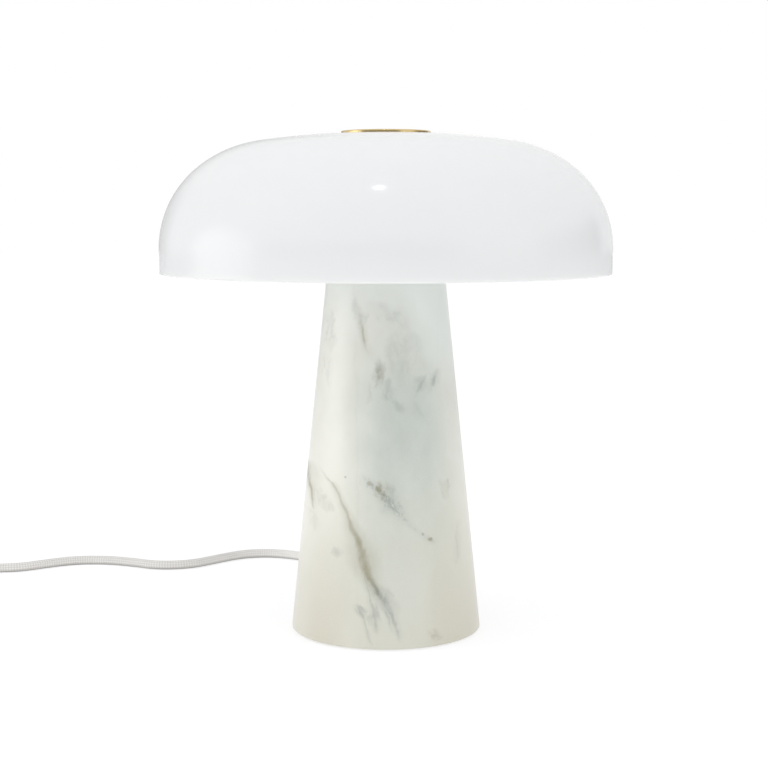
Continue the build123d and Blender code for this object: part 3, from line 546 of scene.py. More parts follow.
class Lathe:
    """A half outline on the XZ plane, as radius and height, that is then turned round Z."""

    def __init__(self, radius, height):
        self.form = bmesh.new()
        self.first = self.form.verts.new((radius, 0.0, height))
        self.tip = self.first

    def to(self, radius, height):
        """A straight run."""
        self.tip = bmesh.ops.extrude_vert_indiv(self.form, verts=[self.tip])["verts"][0]
        self.tip.co = (radius, 0.0, height)
        return self

    def arc(self, radius, height, degrees, steps):
        """An arc about a middle. A positive turn goes from outwards to upwards."""
        made = bmesh.ops.spin(
            self.form,
            geom=[self.tip],
            cent=(radius, 0.0, height),
            axis=(0.0, -1.0, 0.0),
            angle=math.radians(degrees),
            steps=steps,
        )
        self.tip = verts_in(made["geom_last"])[0]
        return self

    def turn(self, name, steps):
        """Close the outline, spin it into a skin and make it a piece."""
        if (self.tip.co - self.first.co).length > 1e-6 and self.tip.co.x > 1e-6:
            self.form.edges.new((self.tip, self.first))
        geom = self.form.verts[:] + self.form.edges[:]
        spun = {"axis": (0.0, 0.0, 1.0), "angle": math.tau, "steps": steps, "use_merge": True}
        bmesh.ops.spin(self.form, geom=geom, cent=(0.0, 0.0, 0.0), **spun)
        return finish_mesh(name, self.form)


def finish_mesh(name, form):
    """Merge doubles, point the faces outwards and shade all but the sharp edges smoothly."""
    bmesh.ops.remove_doubles(form, verts=form.verts, dist=1e-6)
    bmesh.ops.dissolve_degenerate(form, edges=form.edges, dist=1e-7)
    bmesh.ops.recalc_face_normals(form, faces=form.faces)
    mesh = bpy.data.meshes.new(name)
    form.to_mesh(mesh)
    form.free()
    mesh.shade_smooth()
    mesh.set_sharp_from_angle(angle=sharp_edge)
    print(name, "faces:", len(mesh.polygons))
    return place_piece(name, mesh)

# %% [markdown]
# The shade is blown opal glass: a short upright skirt, a round shoulder, a tighter crown and
# an almost flat dome, ground level under the cap. Its lip is fire-polished, so it is round.
# The outline takes its width, rim and top from the solid, and its arcs are tangent.

# %% Opal glass shade
shade_low, shade_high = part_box("glass_shade")
seat_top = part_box("shade_seat")[1].z
shade_radius = shade_high.x
glass_wall = 0.0045
skirt_height = 0.016
shoulder_radius = 0.0688
shoulder_turn = 50.1
crown_radius = 0.0813
crown_turn = 82.2
lip_round = 0.0014
gasket_thickness = 0.0015
glass_hole = 0.0100
shoulder_steps = 22
crown_steps = 18
dome_steps = 14
lip_steps = 6
shoulder_arc = (shade_radius - shoulder_radius, shade_low.z + skirt_height)
crown_shift = shoulder_radius - crown_radius
crown_arc = (
    shoulder_arc[0] + crown_shift * math.cos(math.radians(shoulder_turn)),
    shoulder_arc[1] + crown_shift * math.sin(math.radians(shoulder_turn)),
)
dome_radius = crown_radius + crown_arc[0] / math.cos(math.radians(crown_turn))
dome_arc = (0.0, crown_arc[1] - (dome_radius - crown_radius) * math.sin(math.radians(crown_turn)))


def dome_turn(radius, level):
    """The angle at which the dome reaches a level."""
    return math.degrees(math.asin((level - dome_arc[1]) / radius))


def glass_shade():
    """Up the outside, through the hole under the cap and down the inside to the round lip."""
    ceiling = seat_top + gasket_thickness
    inner_radius = dome_radius - glass_wall
    outer_land = dome_turn(dome_radius, shade_high.z)
    inner_land = dome_turn(inner_radius, ceiling)
    rim = shade_low.z + lip_round
    lathe = Lathe(shade_radius, rim).to(shade_radius, shoulder_arc[1])
    lathe.arc(*shoulder_arc, shoulder_turn, shoulder_steps)
    lathe.arc(*crown_arc, crown_turn - shoulder_turn, crown_steps)
    lathe.arc(*dome_arc, outer_land - crown_turn, dome_steps)
    lathe.to(glass_hole, shade_high.z).to(glass_hole, ceiling)
    lathe.to(inner_radius * math.cos(math.radians(inner_land)), ceiling)
    lathe.arc(*dome_arc, crown_turn - inner_land, dome_steps)
    lathe.arc(*crown_arc, shoulder_turn - crown_turn, crown_steps)
    lathe.arc(*shoulder_arc, -shoulder_turn, shoulder_steps)
    lathe.to(shade_radius - glass_wall, rim)
    lathe.arc(shade_radius - glass_wall + lip_round, rim, 90, lip_steps)
    lathe.to(shade_radius - lip_round, shade_low.z)
    lathe.arc(shade_radius - lip_round, rim, 90, lip_steps)
    return lathe.turn("opal_shade", 160)


opal_shade = glass_shade()
stand_for(opal_shade, "glass_shade")
print("dome radius:", round(dome_radius, 4))

# %% [markdown]
# Opal glass is white right through and has a clear skin, so it looks soft and glossy at once.
# Blown glass is never quite even: the white is a trace cooler or milkier in broad patches, and
# the skin has a long low ripple that bends its reflections.

# %% Opal glass finish
def opal_finish(name, milk, cool, glow_depth):
    """White glass that light enters to a depth in metres, deep in the shade and shallow in a bulb."""
    finish, place = new_finish(name)
    patches = finish.noise(place, 0.09, 3.0, pull=(1.0, 1.0, 2.0))
    seeds = finish.step(finish.noise(place, 0.004, 1.0), 0.70, 0.78)
    white = finish.mix(patches, milk, cool)
    white = finish.mix(seeds * 0.06, white, (1.0, 1.0, 1.0, 1.0))
    ripple = finish.noise(place, 0.06, 2.0, pull=(1.0, 1.0, 2.5))
    return finish.surface({
        "Base Color": white,
        "Roughness": 0.10 + 0.05 * patches,
        "IOR": 1.5,
        "Subsurface Weight": 0.9,
        "Subsurface Radius": (1.0, 1.0, 1.0),
        "Subsurface Scale": glow_depth,
        "Normal": finish.bump(ripple, 0.0004),
    })


shade_glow_depth = 0.010
shade_glass = opal_finish("shade_glass", tint(237, 237, 239), tint(232, 235, 237), shade_glow_depth)
opal_shade.data.materials.append(shade_glass)
print("shade glass glows to a depth of", shade_glow_depth, "m")

# %% [markdown]
# The base is a cone turned from one block of marble, with a small round on both edges so that
# they don't chip. It is hollow: a recess and a chamber below for the plate and the wiring, a
# bore up the middle and a pocket on top for the lampholder. The cord's hole and the flat seat
# of its bush are drilled from behind, which is a Boolean cut, applied at once.

# %% Marble base
base_low, base_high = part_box("marble_base")
foot_radius = 0.06405
top_radius = 0.03910
arris = 0.0012
recess_radius = 0.05835
recess_top = 0.0045
chamber_radius = 0.04235
chamber_top = 0.044
bore_radius = 0.006
pocket_radius = 0.0225
holder_gap = 0.0012
pocket_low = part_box("holder_cap")[0].z - holder_gap
side_rows = 24
arris_steps = 8
side_lean = math.degrees(math.atan((foot_radius - top_radius) / (base_high.z - base_low.z)))


def base_radius_at(level):
    """The cone's radius at a height."""
    share = (level - base_low.z) / (base_high.z - base_low.z)
    return foot_radius + share * (top_radius - foot_radius)


def marble_cone():
    """Out from the recess, up the side in rows, over the top edge and down the hollow inside."""
    side = math.radians(side_lean)
    inset = arris / math.cos(side)
    foot_z = base_low.z + arris
    foot_x = base_radius_at(foot_z) - inset
    edge_z = base_high.z - arris
    edge_x = base_radius_at(edge_z) - inset
    lathe = Lathe(recess_radius, base_low.z).to(foot_x, base_low.z)
    lathe.arc(foot_x, foot_z, 90 + side_lean, arris_steps)
    for row in range(1, side_rows):
        level = foot_z + (edge_z - foot_z) * row / side_rows
        lathe.to(base_radius_at(level), level)
    lathe.to(edge_x + arris * math.cos(side), edge_z + arris * math.sin(side))
    lathe.arc(edge_x, edge_z, 90 - side_lean, arris_steps)
    lathe.to(pocket_radius, base_high.z).to(pocket_radius, pocket_low)
    lathe.to(bore_radius, pocket_low).to(bore_radius, chamber_top)
    lathe.to(chamber_radius, chamber_top).to(chamber_radius, recess_top)
    lathe.to(recess_radius, recess_top)
    return lathe.turn("marble_cone", 144)


marble = marble_cone()
print("side leans", round(side_lean, 2), "degrees")

# %% Cord hole in the marble
bush_low, bush_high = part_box("cord_bush")
bush_place = (0, 0, (bush_low.z + bush_high.z) / 2)
flange_radius = (bush_high.z - bush_low.z) / 2
shank_hole = 0.00545
shank_start = chamber_radius - 0.004
seat_hole = flange_radius + 0.0002
seat_back = 0.06069
drill_end = foot_radius + 0.02
insert_hole = 0.0036
insert_circle = 0.05035
insert_low = recess_top - 0.001
insert_top = 0.0165
upright = Matrix.Identity(3)
backwards = Matrix.Rotation(-math.pi / 2, 3, "X")
sideways = Matrix.Rotation(math.pi / 2, 3, "Y")


def drill(name, radius, near, far, turn, place):
    """A round cutter from near to far along Z, then turned and moved. Half a side's turn first keeps
    its corners off the edges that it cuts, which would leave slivers."""
    sides = 48
    form = bmesh.new()
    ends = {"cap_ends": True, "segments": sides, "radius1": radius, "radius2": radius, "depth": far - near}
    bmesh.ops.create_cone(form, **ends)
    bmesh.ops.rotate(form, verts=form.verts, matrix=Matrix.Rotation(math.pi / sides, 3, "Z"))
    bmesh.ops.translate(form, verts=form.verts, vec=(0.0, 0.0, (near + far) / 2))
    bmesh.ops.rotate(form, verts=form.verts, matrix=turn)
    bmesh.ops.translate(form, verts=form.verts, vec=place)
    return finish_mesh(name, form)


def apply_modifiers(piece):
    """Keep what the modifiers make as the piece's own mesh."""
    whole = bpy.context.evaluated_depsgraph_get()
    mesh = bpy.data.meshes.new_from_object(piece.evaluated_get(whole))
    old = piece.data
    piece.modifiers.clear()
    piece.data = mesh
    bpy.data.meshes.remove(old)
    mesh.name = piece.name


def cut_away(piece, cutters):
    """Cut solids out of a piece, apply the cuts and remove the cutters."""
    for cutter in cutters:
        cut = piece.modifiers.new(cutter.name, "BOOLEAN")
        cut.operation = "DIFFERENCE"
        cut.solver = "EXACT"
        cut.object = cutter
    apply_modifiers(piece)
    for cutter in cutters:
        bpy.data.objects.remove(cutter)
    piece.data.set_sharp_from_angle(angle=sharp_edge)


drills = [
    drill("shank_drill", shank_hole, shank_start, drill_end, backwards, bush_place),
    drill("seat_drill", seat_hole, seat_back, drill_end, backwards, bush_place),
]
for degrees in (30, 150, 270):
    turn = math.radians(degrees)
    place = (insert_circle * math.cos(turn), insert_circle * math.sin(turn), 0)
    drills.append(drill("insert_drill", insert_hole, insert_low, insert_top, upright, place))
cut_away(marble, drills)
stand_for(marble, "marble_base")
print("marble faces after drilling:", len(marble.data.polygons))

# %% [markdown]
# The stone is a pale cream marble with a grey-green cloud, tan veins that run down to the right
# and a few rust specks. Noise alone gives a general marble, so the main veins of this block are
# drawn one by one: each is a line of points with its height, its place across, its half width and
# its strength. A slow noise bends them, and a fine one breaks their edges. They lean over where
# they go round the sides, as veins cut at a slant do, and fade there. The back of the block,
# which is not known, gets veins of the same kind from noise.

# %% Veins of the block
drawn_height = 0.25
drawn_width = 0.14
drawn_vein = 0.01
side_lean_start = 0.004
side_lean_rate = 20
slow_bend = (0.034, 0.009)
fine_bend = (0.008, 0.0024)
slow_smoke = (0.014, 0.012)
fine_smoke = (0.004, 0.0045)


def drawn_share(height):
    """A height in millimetres as a share of the drawn height."""
    return height / 1000 / drawn_height


class Stone:
    """The drawn veins, patches and spots of a block, on a bent copy of the place in metres."""

    def __init__(self, finish, place):
        self.finish = finish
        x, y, z = finish.split(place)
        behind = finish.math("MAXIMUM", y + side_lean_start, 0.0)
        lifted = z + x * behind * side_lean_rate
        leant = finish.node("ShaderNodeCombineXYZ", sockets={0: x, 1: y, 2: lifted})
        bent = finish.warp(finish.warp(leant, *slow_bend), *fine_bend)
        self.across, unused, self.level = finish.split(bent)
        smoked = finish.warp(finish.warp(bent, *slow_smoke), *fine_smoke)
        self.smoke_across, unused, self.smoke_level = finish.split(smoked)
        self.ragged = finish.noise(bent, 0.0022, 3.0, pull=(1.0, 1.0, 0.35))
        self.grains = finish.noise(bent, 0.0022, 2.0)
        tears = finish.noise(smoked, 0.0055, 5.0, pull=(1.0, 1.0, 0.32))
        self.torn = finish.step(tears, 0.30, 0.76)

    def drawn(self, points, column, scale, middle):
        """A drawn line of one column against the height."""
        share = [(drawn_share(point[0]), middle + point[column] * scale) for point in points]
        return self.finish.curve(self.level / drawn_height, share)

    def vein(self, points, soft, ragged):
        """A vein through points of height, place across, half width in millimetres and strength.
        Part of it is a soft halo, and its edges are more or less ragged."""
        rising = sorted(points)
        middle = (self.drawn(rising, 1, 0.001 / drawn_width, 0.5) - 0.5) * drawn_width
        width = self.drawn(rising, 2, 0.001 / drawn_vein, 0.0) * drawn_vein
        strength = self.drawn(rising, 3, 1.0, 0.0)
        away = abs(self.across - middle) / self.finish.math("MAXIMUM", width, 0.0002)
        away = away + (self.ragged - 0.5) * ragged
        core = self.finish.step(away, 1.0, 0.0) * (1 - soft)
        return strength * (core + self.finish.step(away, 3.0, 0.0) * soft)

    def patch(self, height, across, tall, wide, strength):
        """A smoky patch, with its middle and its half sizes in millimetres."""
        up = (self.smoke_level - height / 1000) / (tall / 1000)
        along = (self.smoke_across - across / 1000) / (wide / 1000)
        return strength * self.finish.step(up * up + along * along, 1.0, 0.0)

    def spot(self, height, across, size, strength):
        """A small ragged spot."""
        up = (self.level - height / 1000) / (size / 1000)
        along = (self.across - across / 1000) / (size / 1000)
        away = up * up + along * along + (self.grains - 0.5) * 2.4
        return strength * self.finish.step(away, 1.5, -0.1)

    def strongest(self, masks):
        """The highest of some masks at each point."""
        most = masks[0]
        for mask in masks[1:]:
            most = self.finish.math("MAXIMUM", most, mask)
        return most


print("drawn part of the block:", drawn_width, "by", drawn_height, "m")

# %% Rust veins
main_vein = [
    (116, -43, 0.8, 0), (109, -39, 1.1, 0.22), (104.9, -35, 1.4, 0.42), (92.1, -28.6, 1.6, 0.42),
    (81.1, -23.2, 2.8, 0.58), (66.2, -16.6, 4.6, 0.67), (57, -14, 5.2, 0.70), (50.4, -11.6, 4.8, 0.64),
    (41, -7.2, 3.4, 0.36), (34, -3.4, 2, 0.15), (28, 0, 1.4, 0),
]
edge_streak = [
    (119, -53, 1.5, 0), (112, -51.2, 3.4, 0.7), (104, -49.8, 2.8, 0.6), (99, -48.6, 2.2, 0.65),
    (90, -47.2, 1.4, 0.45), (84, -46.2, 0.8, 0),
]
upper_line = [
    (228, -19, 1.5, 0), (219, -17.2, 2.8, 0.12), (210, -15.8, 2, 0.26), (202, -14.2, 1.6, 0.50),
    (197, -13.2, 1.4, 0.30), (190, -11, 2, 0.06), (184, -9, 2, 0),
]
rust_lines = [main_vein, edge_streak, upper_line]
rust_patches = [
    (177, -5.4, 11, 3.6, 0.30), (104, -4.8, 8, 7.5, 0.60), (111, -50.5, 6, 4, 0.45),
    (10, 31, 4, 7, 0.30), (103, 38.5, 9, 3.4, 0.22), (166, -11.5, 9, 3, 0.15),
    (96, -46, 10, 6, 0.22), (60, -15, 12, 5, 0.22), (78, -46, 9, 5, 0.14),
]
rust_spots = [
    (105, -5.2, 2.2, 0.70), (108, -10.4, 1.7, 0.40), (101.5, -2.2, 1.5, 0.45), (69.8, 28, 1.9, 0.65),
    (74, 23, 1, 0.4), (176, -5.4, 1.6, 0.35), (108.5, -51.2, 1.6, 0.6), (110, -28, 0.9, 0.4),
]
print("rust veins:", len(rust_lines), "patches:", len(rust_patches), "spots:", len(rust_spots))

# %% Ash veins
root_vein = [
    (52, -12.5, 1.2, 0), (45, -9, 2.4, 0.5), (38, -5, 3.6, 0.75), (32, -1.2, 3.6, 0.78),
    (24, 3.2, 2.4, 0.6), (13, 8, 1.6, 0.45), (4, 11, 1.2, 0),
]
inner_root = [
    (42, -8.6, 0.6, 0), (36, -6, 1, 0.4), (28, -1.6, 1, 0.4), (18, 2.6, 0.8, 0.3),
    (10, 5.2, 0.6, 0),
]
left_root = [
    (50, -14, 0.6, 0), (42, -12.4, 0.8, 0.35), (30, -10.2, 1.5, 0.4), (19, -7.6, 1.8, 0.45),
    (10, -5.8, 1.2, 0),
]
low_root = [
    (31, -19.4, 1, 0), (25, -17.4, 1.8, 0.45), (18, -15.4, 1, 0.25), (11, -13, 1.2, 0.35),
    (3, -9.5, 1, 0),
]
smoke_trail = [
    (226, -5, 4, 0), (217, 2, 6, 0.20), (210, 9, 5.5, 0.15), (200, 15, 5, 0.08),
    (190, 21, 4.5, 0.08), (180, 27.5, 3.5, 0.08), (172, 31, 2, 0),
]
right_streak = [
    (182, 34.6, 0.8, 0), (177, 33, 1.8, 0.36), (172, 31, 2, 0.46), (168, 29.2, 1.4, 0.2),
    (163, 27, 1, 0),
]
inner_streak = [
    (179, 27, 0.8, 0), (174, 24.6, 1.7, 0.3), (169, 22, 2, 0.46), (165, 20.4, 1.4, 0.2),
    (160, 18.6, 1, 0),
]
low_streak = [(160, 18, 1.2, 0), (154, 21.5, 2.6, 0.18), (148, 25, 2.2, 0.12), (142, 28, 1.4, 0)]
edge_dashes = [
    (84, 46.5, 0.8, 0), (75, 46.2, 2, 0.16), (66, 46, 2.2, 0.26), (58, 45.8, 2, 0.22),
    (50, 45.5, 0.8, 0),
]
ash_lines = [root_vein, inner_root, left_root, low_root, smoke_trail]
ash_lines += [right_streak, inner_streak, low_streak, edge_dashes]
speckled_band = [
    (116, -17, 2, 0), (109, -10.5, 3.2, 0.6), (105, -5.8, 4.2, 0.9), (98, 0.2, 4.4, 1),
    (92, 5, 3.6, 0.9), (86, 10, 2.8, 0.6), (77, 18.6, 1.8, 0.45), (70, 27.6, 2.4, 0.6),
    (65, 32, 1.5, 0),
]
ash_patches = [
    (178, -5, 12, 6, 0.36), (167, 2, 8, 6.5, 0.34), (158, 9, 6, 7, 0.25),
    (171, 23, 8, 7, 0.30), (172, 31, 7, 5, 0.30), (216, 2, 8, 10, 0.32),
    (216, -17, 12, 4.5, 0.24), (98, 1, 11, 9, 0.26), (60, -31, 5, 6, 0.26),
    (26, -17, 5, 4.5, 0.35), (22, -8, 11, 5, 0.40), (34, -1, 9, 7, 0.25),
    (92, -39, 6, 6, 0.2), (206, -36, 16, 4, 0.2), (178, -38, 14, 4, 0.16),
    (190, 12, 22, 16, 0.16),
]
print("ash veins:", len(ash_lines) + 1, "patches:", len(ash_patches))

# %% Ground colour of the stone
cloud_edge = [
    (0, -27), (30, -26), (60, -25), (90, -22), (120, -18), (150, -17), (175, -17), (205, -17), (244, -18),
]
# The cloud's depth by height is partly the stone's grey-green cloud and partly painted light and shade:
# deeper low on the front as painted shade, thinner near the top as painted light under the shade.
cloud_and_shade_depth = [
    (0, 0.45), (30, 0.50), (60, 0.62), (90, 0.72), (120, 0.85), (150, 0.88), (180, 0.60), (210, 0.30),
    (244, 0.10),
]
tone_and_shade_patch = (36, 8, 34, 26, 0.5)


def ground_colour(finish, stone, place, front, mottle):
    """Cream stone with a grey-green cloud, darker and warmer at its foot. Painted shade deepens the front
    and the foot, painted light pales the top and the right side, and a painted highlight runs up the left
    edge.
    """
    x, unused, z = finish.split(place)
    edge_line = [(drawn_share(height), 0.5 + across / 1000 / drawn_width) for height, across in cloud_edge]
    depth_line = [(drawn_share(height), depth) for height, depth in cloud_and_shade_depth]
    edge = finish.curve(z / drawn_height, edge_line)
    billow = finish.noise(place, 0.050, 4.0, 0.6, pull=(1.0, 1.0, 0.6))
    inside = x - (edge - 0.5) * drawn_width + (billow - 0.5) * 0.03
    round_share = x / (foot_radius - z * ((foot_radius - top_radius) / base_high.z))
    # Painted light: the cloud on the front thins towards the right side, so that side reads as lit. The
    # front cloud is partly the stone's cloud and partly painted shade.
    painted_light_side = 1 - 0.75 * finish.step(round_share, 0.50, 0.95)
    depth = finish.curve(z / drawn_height, depth_line)
    front_cloud_and_shade = depth * finish.step(inside, -0.020, 0.022) * painted_light_side
    back_cloud = finish.step(billow, 0.32, 0.72) * 0.8
    cloud = back_cloud + front * (front_cloud_and_shade - back_cloud)
    cream = finish.mix(mottle, tint(240, 240, 229), tint(250, 250, 243))
    green = finish.mix(mottle, tint(191, 200, 192), tint(212, 220, 213))
    colour = finish.mix(cloud, cream, green)
    # Painted light: the top of the stone, under the shade, is painted paler and cooler, more so on the
    # right.
    painted_light_level = z + (billow - 0.5) * 0.06 + 0.03 * finish.step(round_share, 0.2, 0.9)
    cool = finish.step(painted_light_level, 0.190, 0.245) * (0.7 + 0.3 * finish.step(round_share, -0.6, 0.5))
    colour = finish.mix(cool * 0.8, colour, tint(249, 255, 252))
    # A cool, darker patch low on the front: partly the stone's tone, partly painted shade.
    colour = finish.mix(stone.patch(*tone_and_shade_patch), colour, tint(222, 230, 228))
    # Towards the foot the stone is darker and warmer, partly its tone and partly painted shade, more so at
    # both sides. Along the left edge a painted highlight takes some of it away.
    painted_left_highlight = finish.step(round_share, -0.70, -0.95) * (0.25 + 0.40 * finish.step(z, 0.03, 0.09))
    both_edges = finish.step(abs(round_share), 0.3, 0.65)
    warm_tone_and_shade = finish.step(z, 0.145, 0.0) * (0.65 + 0.35 * both_edges - painted_left_highlight)
    return finish.mix(warm_tone_and_shade * 0.85, colour, tint(210, 206, 190))


print("cloud drawn through:", len(cloud_edge), "points")

# %% Where the veins lie
def back_veins(finish, stone, place, front):
    """Veins from noise on the back of the block, as ash and as rust."""
    ridge = abs(finish.noise(place, 0.075, 3.0, 0.9, pull=(1.0, 1.0, 0.55)) - 0.5)
    kept = finish.step(finish.noise(place, 0.05, 2.0), 0.45, 0.62) * (1 - front)
    ash = finish.step(ridge + (stone.ragged - 0.5) * 0.03, 0.030, 0.002) * kept
    return ash, finish.step(ridge, 0.012, 0.001) * kept


def drawn_ash(finish, stone):
    """The grey veins, the smoky patches and the speckled band."""
    lines = stone.strongest([stone.vein(line, 0.5, 1.1) for line in ash_lines])
    smoke = stone.strongest([stone.patch(*patch) for patch in ash_patches])
    band = stone.vein(speckled_band, 0.8, 1.1)
    crumbs = finish.step(stone.grains + band * 0.22, 0.50, 0.80) * band
    lines = lines * (0.5 + 0.7 * stone.torn)
    smoke = smoke * (0.15 + 1.1 * stone.torn)
    return stone.strongest([lines, smoke, crumbs * 0.62, band * 0.22])


def drawn_rust(stone):
    """The tan veins, the tinge round them and the specks."""
    lines = stone.strongest([stone.vein(line, 0.4, 0.7) for line in rust_lines])
    tinge = stone.strongest([stone.patch(*patch) for patch in rust_patches])
    spots = stone.strongest([stone.spot(*spot) for spot in rust_spots])
    return stone.strongest([lines * (0.9 + 0.2 * stone.torn), tinge * (0.15 + 1.1 * stone.torn), spots])

# %% Marble finish
def marble_finish():
    """The ground of the stone, then its ash and rust veins, then its fine crystals."""
    finish, place = new_finish("marble_stone")
    unused, y, unused = finish.split(place)
    stone = Stone(finish, place)
    drift = finish.noise(place, 0.03, 3.0)
    front = finish.step(y + (drift - 0.5) * 0.05, 0.040, -0.010)
    drawn = finish.step(y + (drift - 0.5) * 0.03, 0.018, -0.006)
    mottle = finish.noise(finish.warp(place, 0.02, 0.02), 0.014, 4.0, pull=(1.0, 1.0, 0.6))
    crystal = finish.noise(place, 0.0011, 2.0)
    colour = ground_colour(finish, stone, place, front, mottle)
    back_ash, back_rust = back_veins(finish, stone, place, front)
    ash = finish.math("MAXIMUM", drawn_ash(finish, stone) * drawn, back_ash * 0.45)
    rust = finish.math("MAXIMUM", drawn_rust(stone) * drawn, back_rust * 0.55)
    colour = finish.mix(finish.math("MINIMUM", ash, 0.9), colour, tint(132, 141, 137))
    colour = finish.mix(finish.math("MINIMUM", rust, 0.95), colour, tint(135, 126, 88))
    colour = finish.mix(finish.step(crystal, 0.35, 0.75) * 0.05, colour, tint(250, 251, 246))
    return finish.surface({
        "Base Color": colour,
        "Roughness": 0.26 + 0.10 * mottle,
        "IOR": 1.6,
        "Normal": finish.bump(mottle, 0.00012),
    })


marble.data.materials.append(marble_finish())
print("marble finish nodes:", len(marble.data.materials[0].node_tree.nodes))

# %% [markdown]
# The cap is a thin brass lid, faced and polished on a lathe: a flat top with very fine rings,
# a small round on its upper edge, and below it a recess for a washer and a tapped boss that
# screws onto the stud of the lamp.

# %% Brass cap
cap_low, cap_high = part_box("brass_cap")
cap_radius = cap_high.x
cap_round = 0.0007
cap_edge = 0.0018
cap_rim = 0.0022
cap_skin = 0.0010
washer_thickness = 0.0008
cap_ease = 0.00003
boss_radius = 0.0070
stud_hole = 0.0041


def brass_lid():
    """Across the top, round its edge, and back under the lid to the tapped boss."""
    rim_low = cap_high.z - cap_edge
    ceiling = shade_high.z + washer_thickness + cap_ease
    lathe = Lathe(0.0, cap_high.z).to(cap_radius - cap_round, cap_high.z)
    lathe.arc(cap_radius - cap_round, cap_high.z - cap_round, -90, 8)
    lathe.to(cap_radius, rim_low).to(cap_radius - cap_rim, rim_low)
    lathe.to(cap_radius - cap_rim, ceiling).to(boss_radius, ceiling)
    lathe.to(boss_radius, cap_low.z).to(stud_hole, cap_low.z)
    lathe.to(stud_hole, cap_high.z - cap_skin).to(0.0, cap_high.z - cap_skin)
    return lathe.turn("brass_lid", 128)


lid = brass_lid()
stand_for(lid, "brass_cap")

# %% Brass finish
ring_size = 0.0006
ring_depth = 0.000004
cap_roughness = 0.18


def brass_finish(name, bright, dull):
    """Turned brass: fine rings about the axis, and broad patches where it has dulled."""
    finish, place = new_finish(name)
    x, y, unused = finish.split(place)
    out = finish.math("SQRT", x * x + y * y)
    rings = finish.math("SINE", out * (math.tau / ring_size)) * 0.5 + 0.5
    patches = finish.noise(place, 0.012, 3.0)
    scuffs = finish.step(finish.noise(place, 0.004, 2.0, pull=(1.0, 4.0, 4.0)), 0.60, 0.74)
    return finish.surface({
        "Base Color": finish.mix(patches, bright, dull),
        "Metallic": 1.0,
        "Roughness": cap_roughness + 0.08 * patches + 0.10 * scuffs,
        "Normal": finish.bump(rings, ring_depth),
    })


lid.data.materials.append(brass_finish("cap_metal", tint(230, 209, 157), tint(212, 187, 130)))
print("rings on the cap:", round(cap_radius / ring_size))

# %% [markdown]
# The smaller parts come from the solids as they are, because their shape is right. Their
# meshes are loose triangles, so each part that can be seen is copied, its points are merged,
# and its round sides are shaded smoothly while its true edges stay sharp.

# %% Smooth copies of the small parts
small_sharp_edge = math.radians(32)
seen_parts = [
    "felt_pad", "cord_bush", "inner_cord", "line_wire", "neutral_wire",
    "holder_ring", "holder_sleeve", "holder_cap",
    "carrier_plate", "carrier_posts", "shade_seat", "seat_gasket",
    "bulb_collar", "bulb_globe", "bulb_screw_cap",
    "switch_lower", "switch_upper", "switch_rocker", "switch_bushes", "switch_screws",
    "plug_bush", "plug_pins", "plug_pin_sleeves",
]


def flat_first(piece):
    """Let large flat faces lead the shading of the small rounds beside them."""
    lead = piece.modifiers.new("flat_first", "WEIGHTED_NORMAL")
    lead.keep_sharp = True
    apply_modifiers(piece)


def smooth_copy(node):
    """A copy of a solid with merged points and smooth round sides, in the solid's place."""
    form = bmesh.new()
    form.from_mesh(frame["nodes"][node].data)
    bmesh.ops.remove_doubles(form, verts=form.verts, dist=1e-6)
    mesh = bpy.data.meshes.new("smooth_" + node)
    form.to_mesh(mesh)
    form.free()
    mesh.shade_smooth()
    mesh.set_sharp_from_angle(angle=small_sharp_edge)
    piece = place_piece("smooth_" + node, mesh)
    flat_first(piece)
    stand_for(piece, node)
    return piece


smooth = {node: smooth_copy(node) for node in seen_parts}
print("smooth copies:", len(smooth))

# %% [markdown]
# The plug is a flat moulding that widens towards its pins, with soft edges and a few grooves
# across it for the fingers. Its outline is a face of six corners, which are rounded before the
# face is drawn up, and the grooves and pin holes are then cut with round cutters.

# %% Plug body
plug_low, plug_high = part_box("plug_body")
plug_middle = (plug_low + plug_high) / 2
plug_half = plug_high.x - plug_middle.x
plug_rear_half = 0.0075
plug_shoulder = 0.019
plug_corners = [
    (plug_rear_half, 0.0, 0.001),
    (plug_half, plug_shoulder, 0.006),
    (plug_half, plug_high.y - plug_low.y, 0.003),
]
plug_round = 0.0022


def round_off(form, geom, offset, segments, affect="EDGES"):
    """Round edges or corners to an arc."""
    soft = {"affect": affect, "segments": segments, "profile": 0.5, "material": -1}
    bmesh.ops.bevel(form, geom=geom, offset=offset, **soft)


def plug_shell():
    """Each corner has its place out from the middle, its place along and its round."""
    form = bmesh.new()

    def corner_at(out, along):
        return form.verts.new((plug_middle.x + out, plug_low.y + along, plug_low.z))

    right = [corner_at(out, along) for out, along, corner in plug_corners]
    left = [corner_at(-out, along) for out, along, corner in plug_corners]
    form.faces.new(right + left[::-1])
    for pair, (out, along, corner) in zip(zip(right, left), plug_corners):
        round_off(form, list(pair), corner, 8, "VERTICES")
    moved = verts_in(bmesh.ops.extrude_face_region(form, geom=form.faces[:])["geom"])
    bmesh.ops.translate(form, verts=moved, vec=(0.0, 0.0, plug_high.z - plug_low.z))
    rims = [edge for edge in form.edges if abs(edge.verts[0].co.z - edge.verts[1].co.z) < 1e-6]
    round_off(form, rims, plug_round, 6)
    return finish_mesh("plug_shell", form)


plug = plug_shell()

# %% Grooves and pin holes of the plug
pin_hole = 0.0015
pin_hole_depth = 0.008
pin_half_spacing = 0.0093
groove_radius = 0.0009
groove_depth = 0.0005
groove_count = 5
groove_start = 0.008
groove_pitch = 0.0032
groove_half = 0.0050
groove_growth = 0.0013


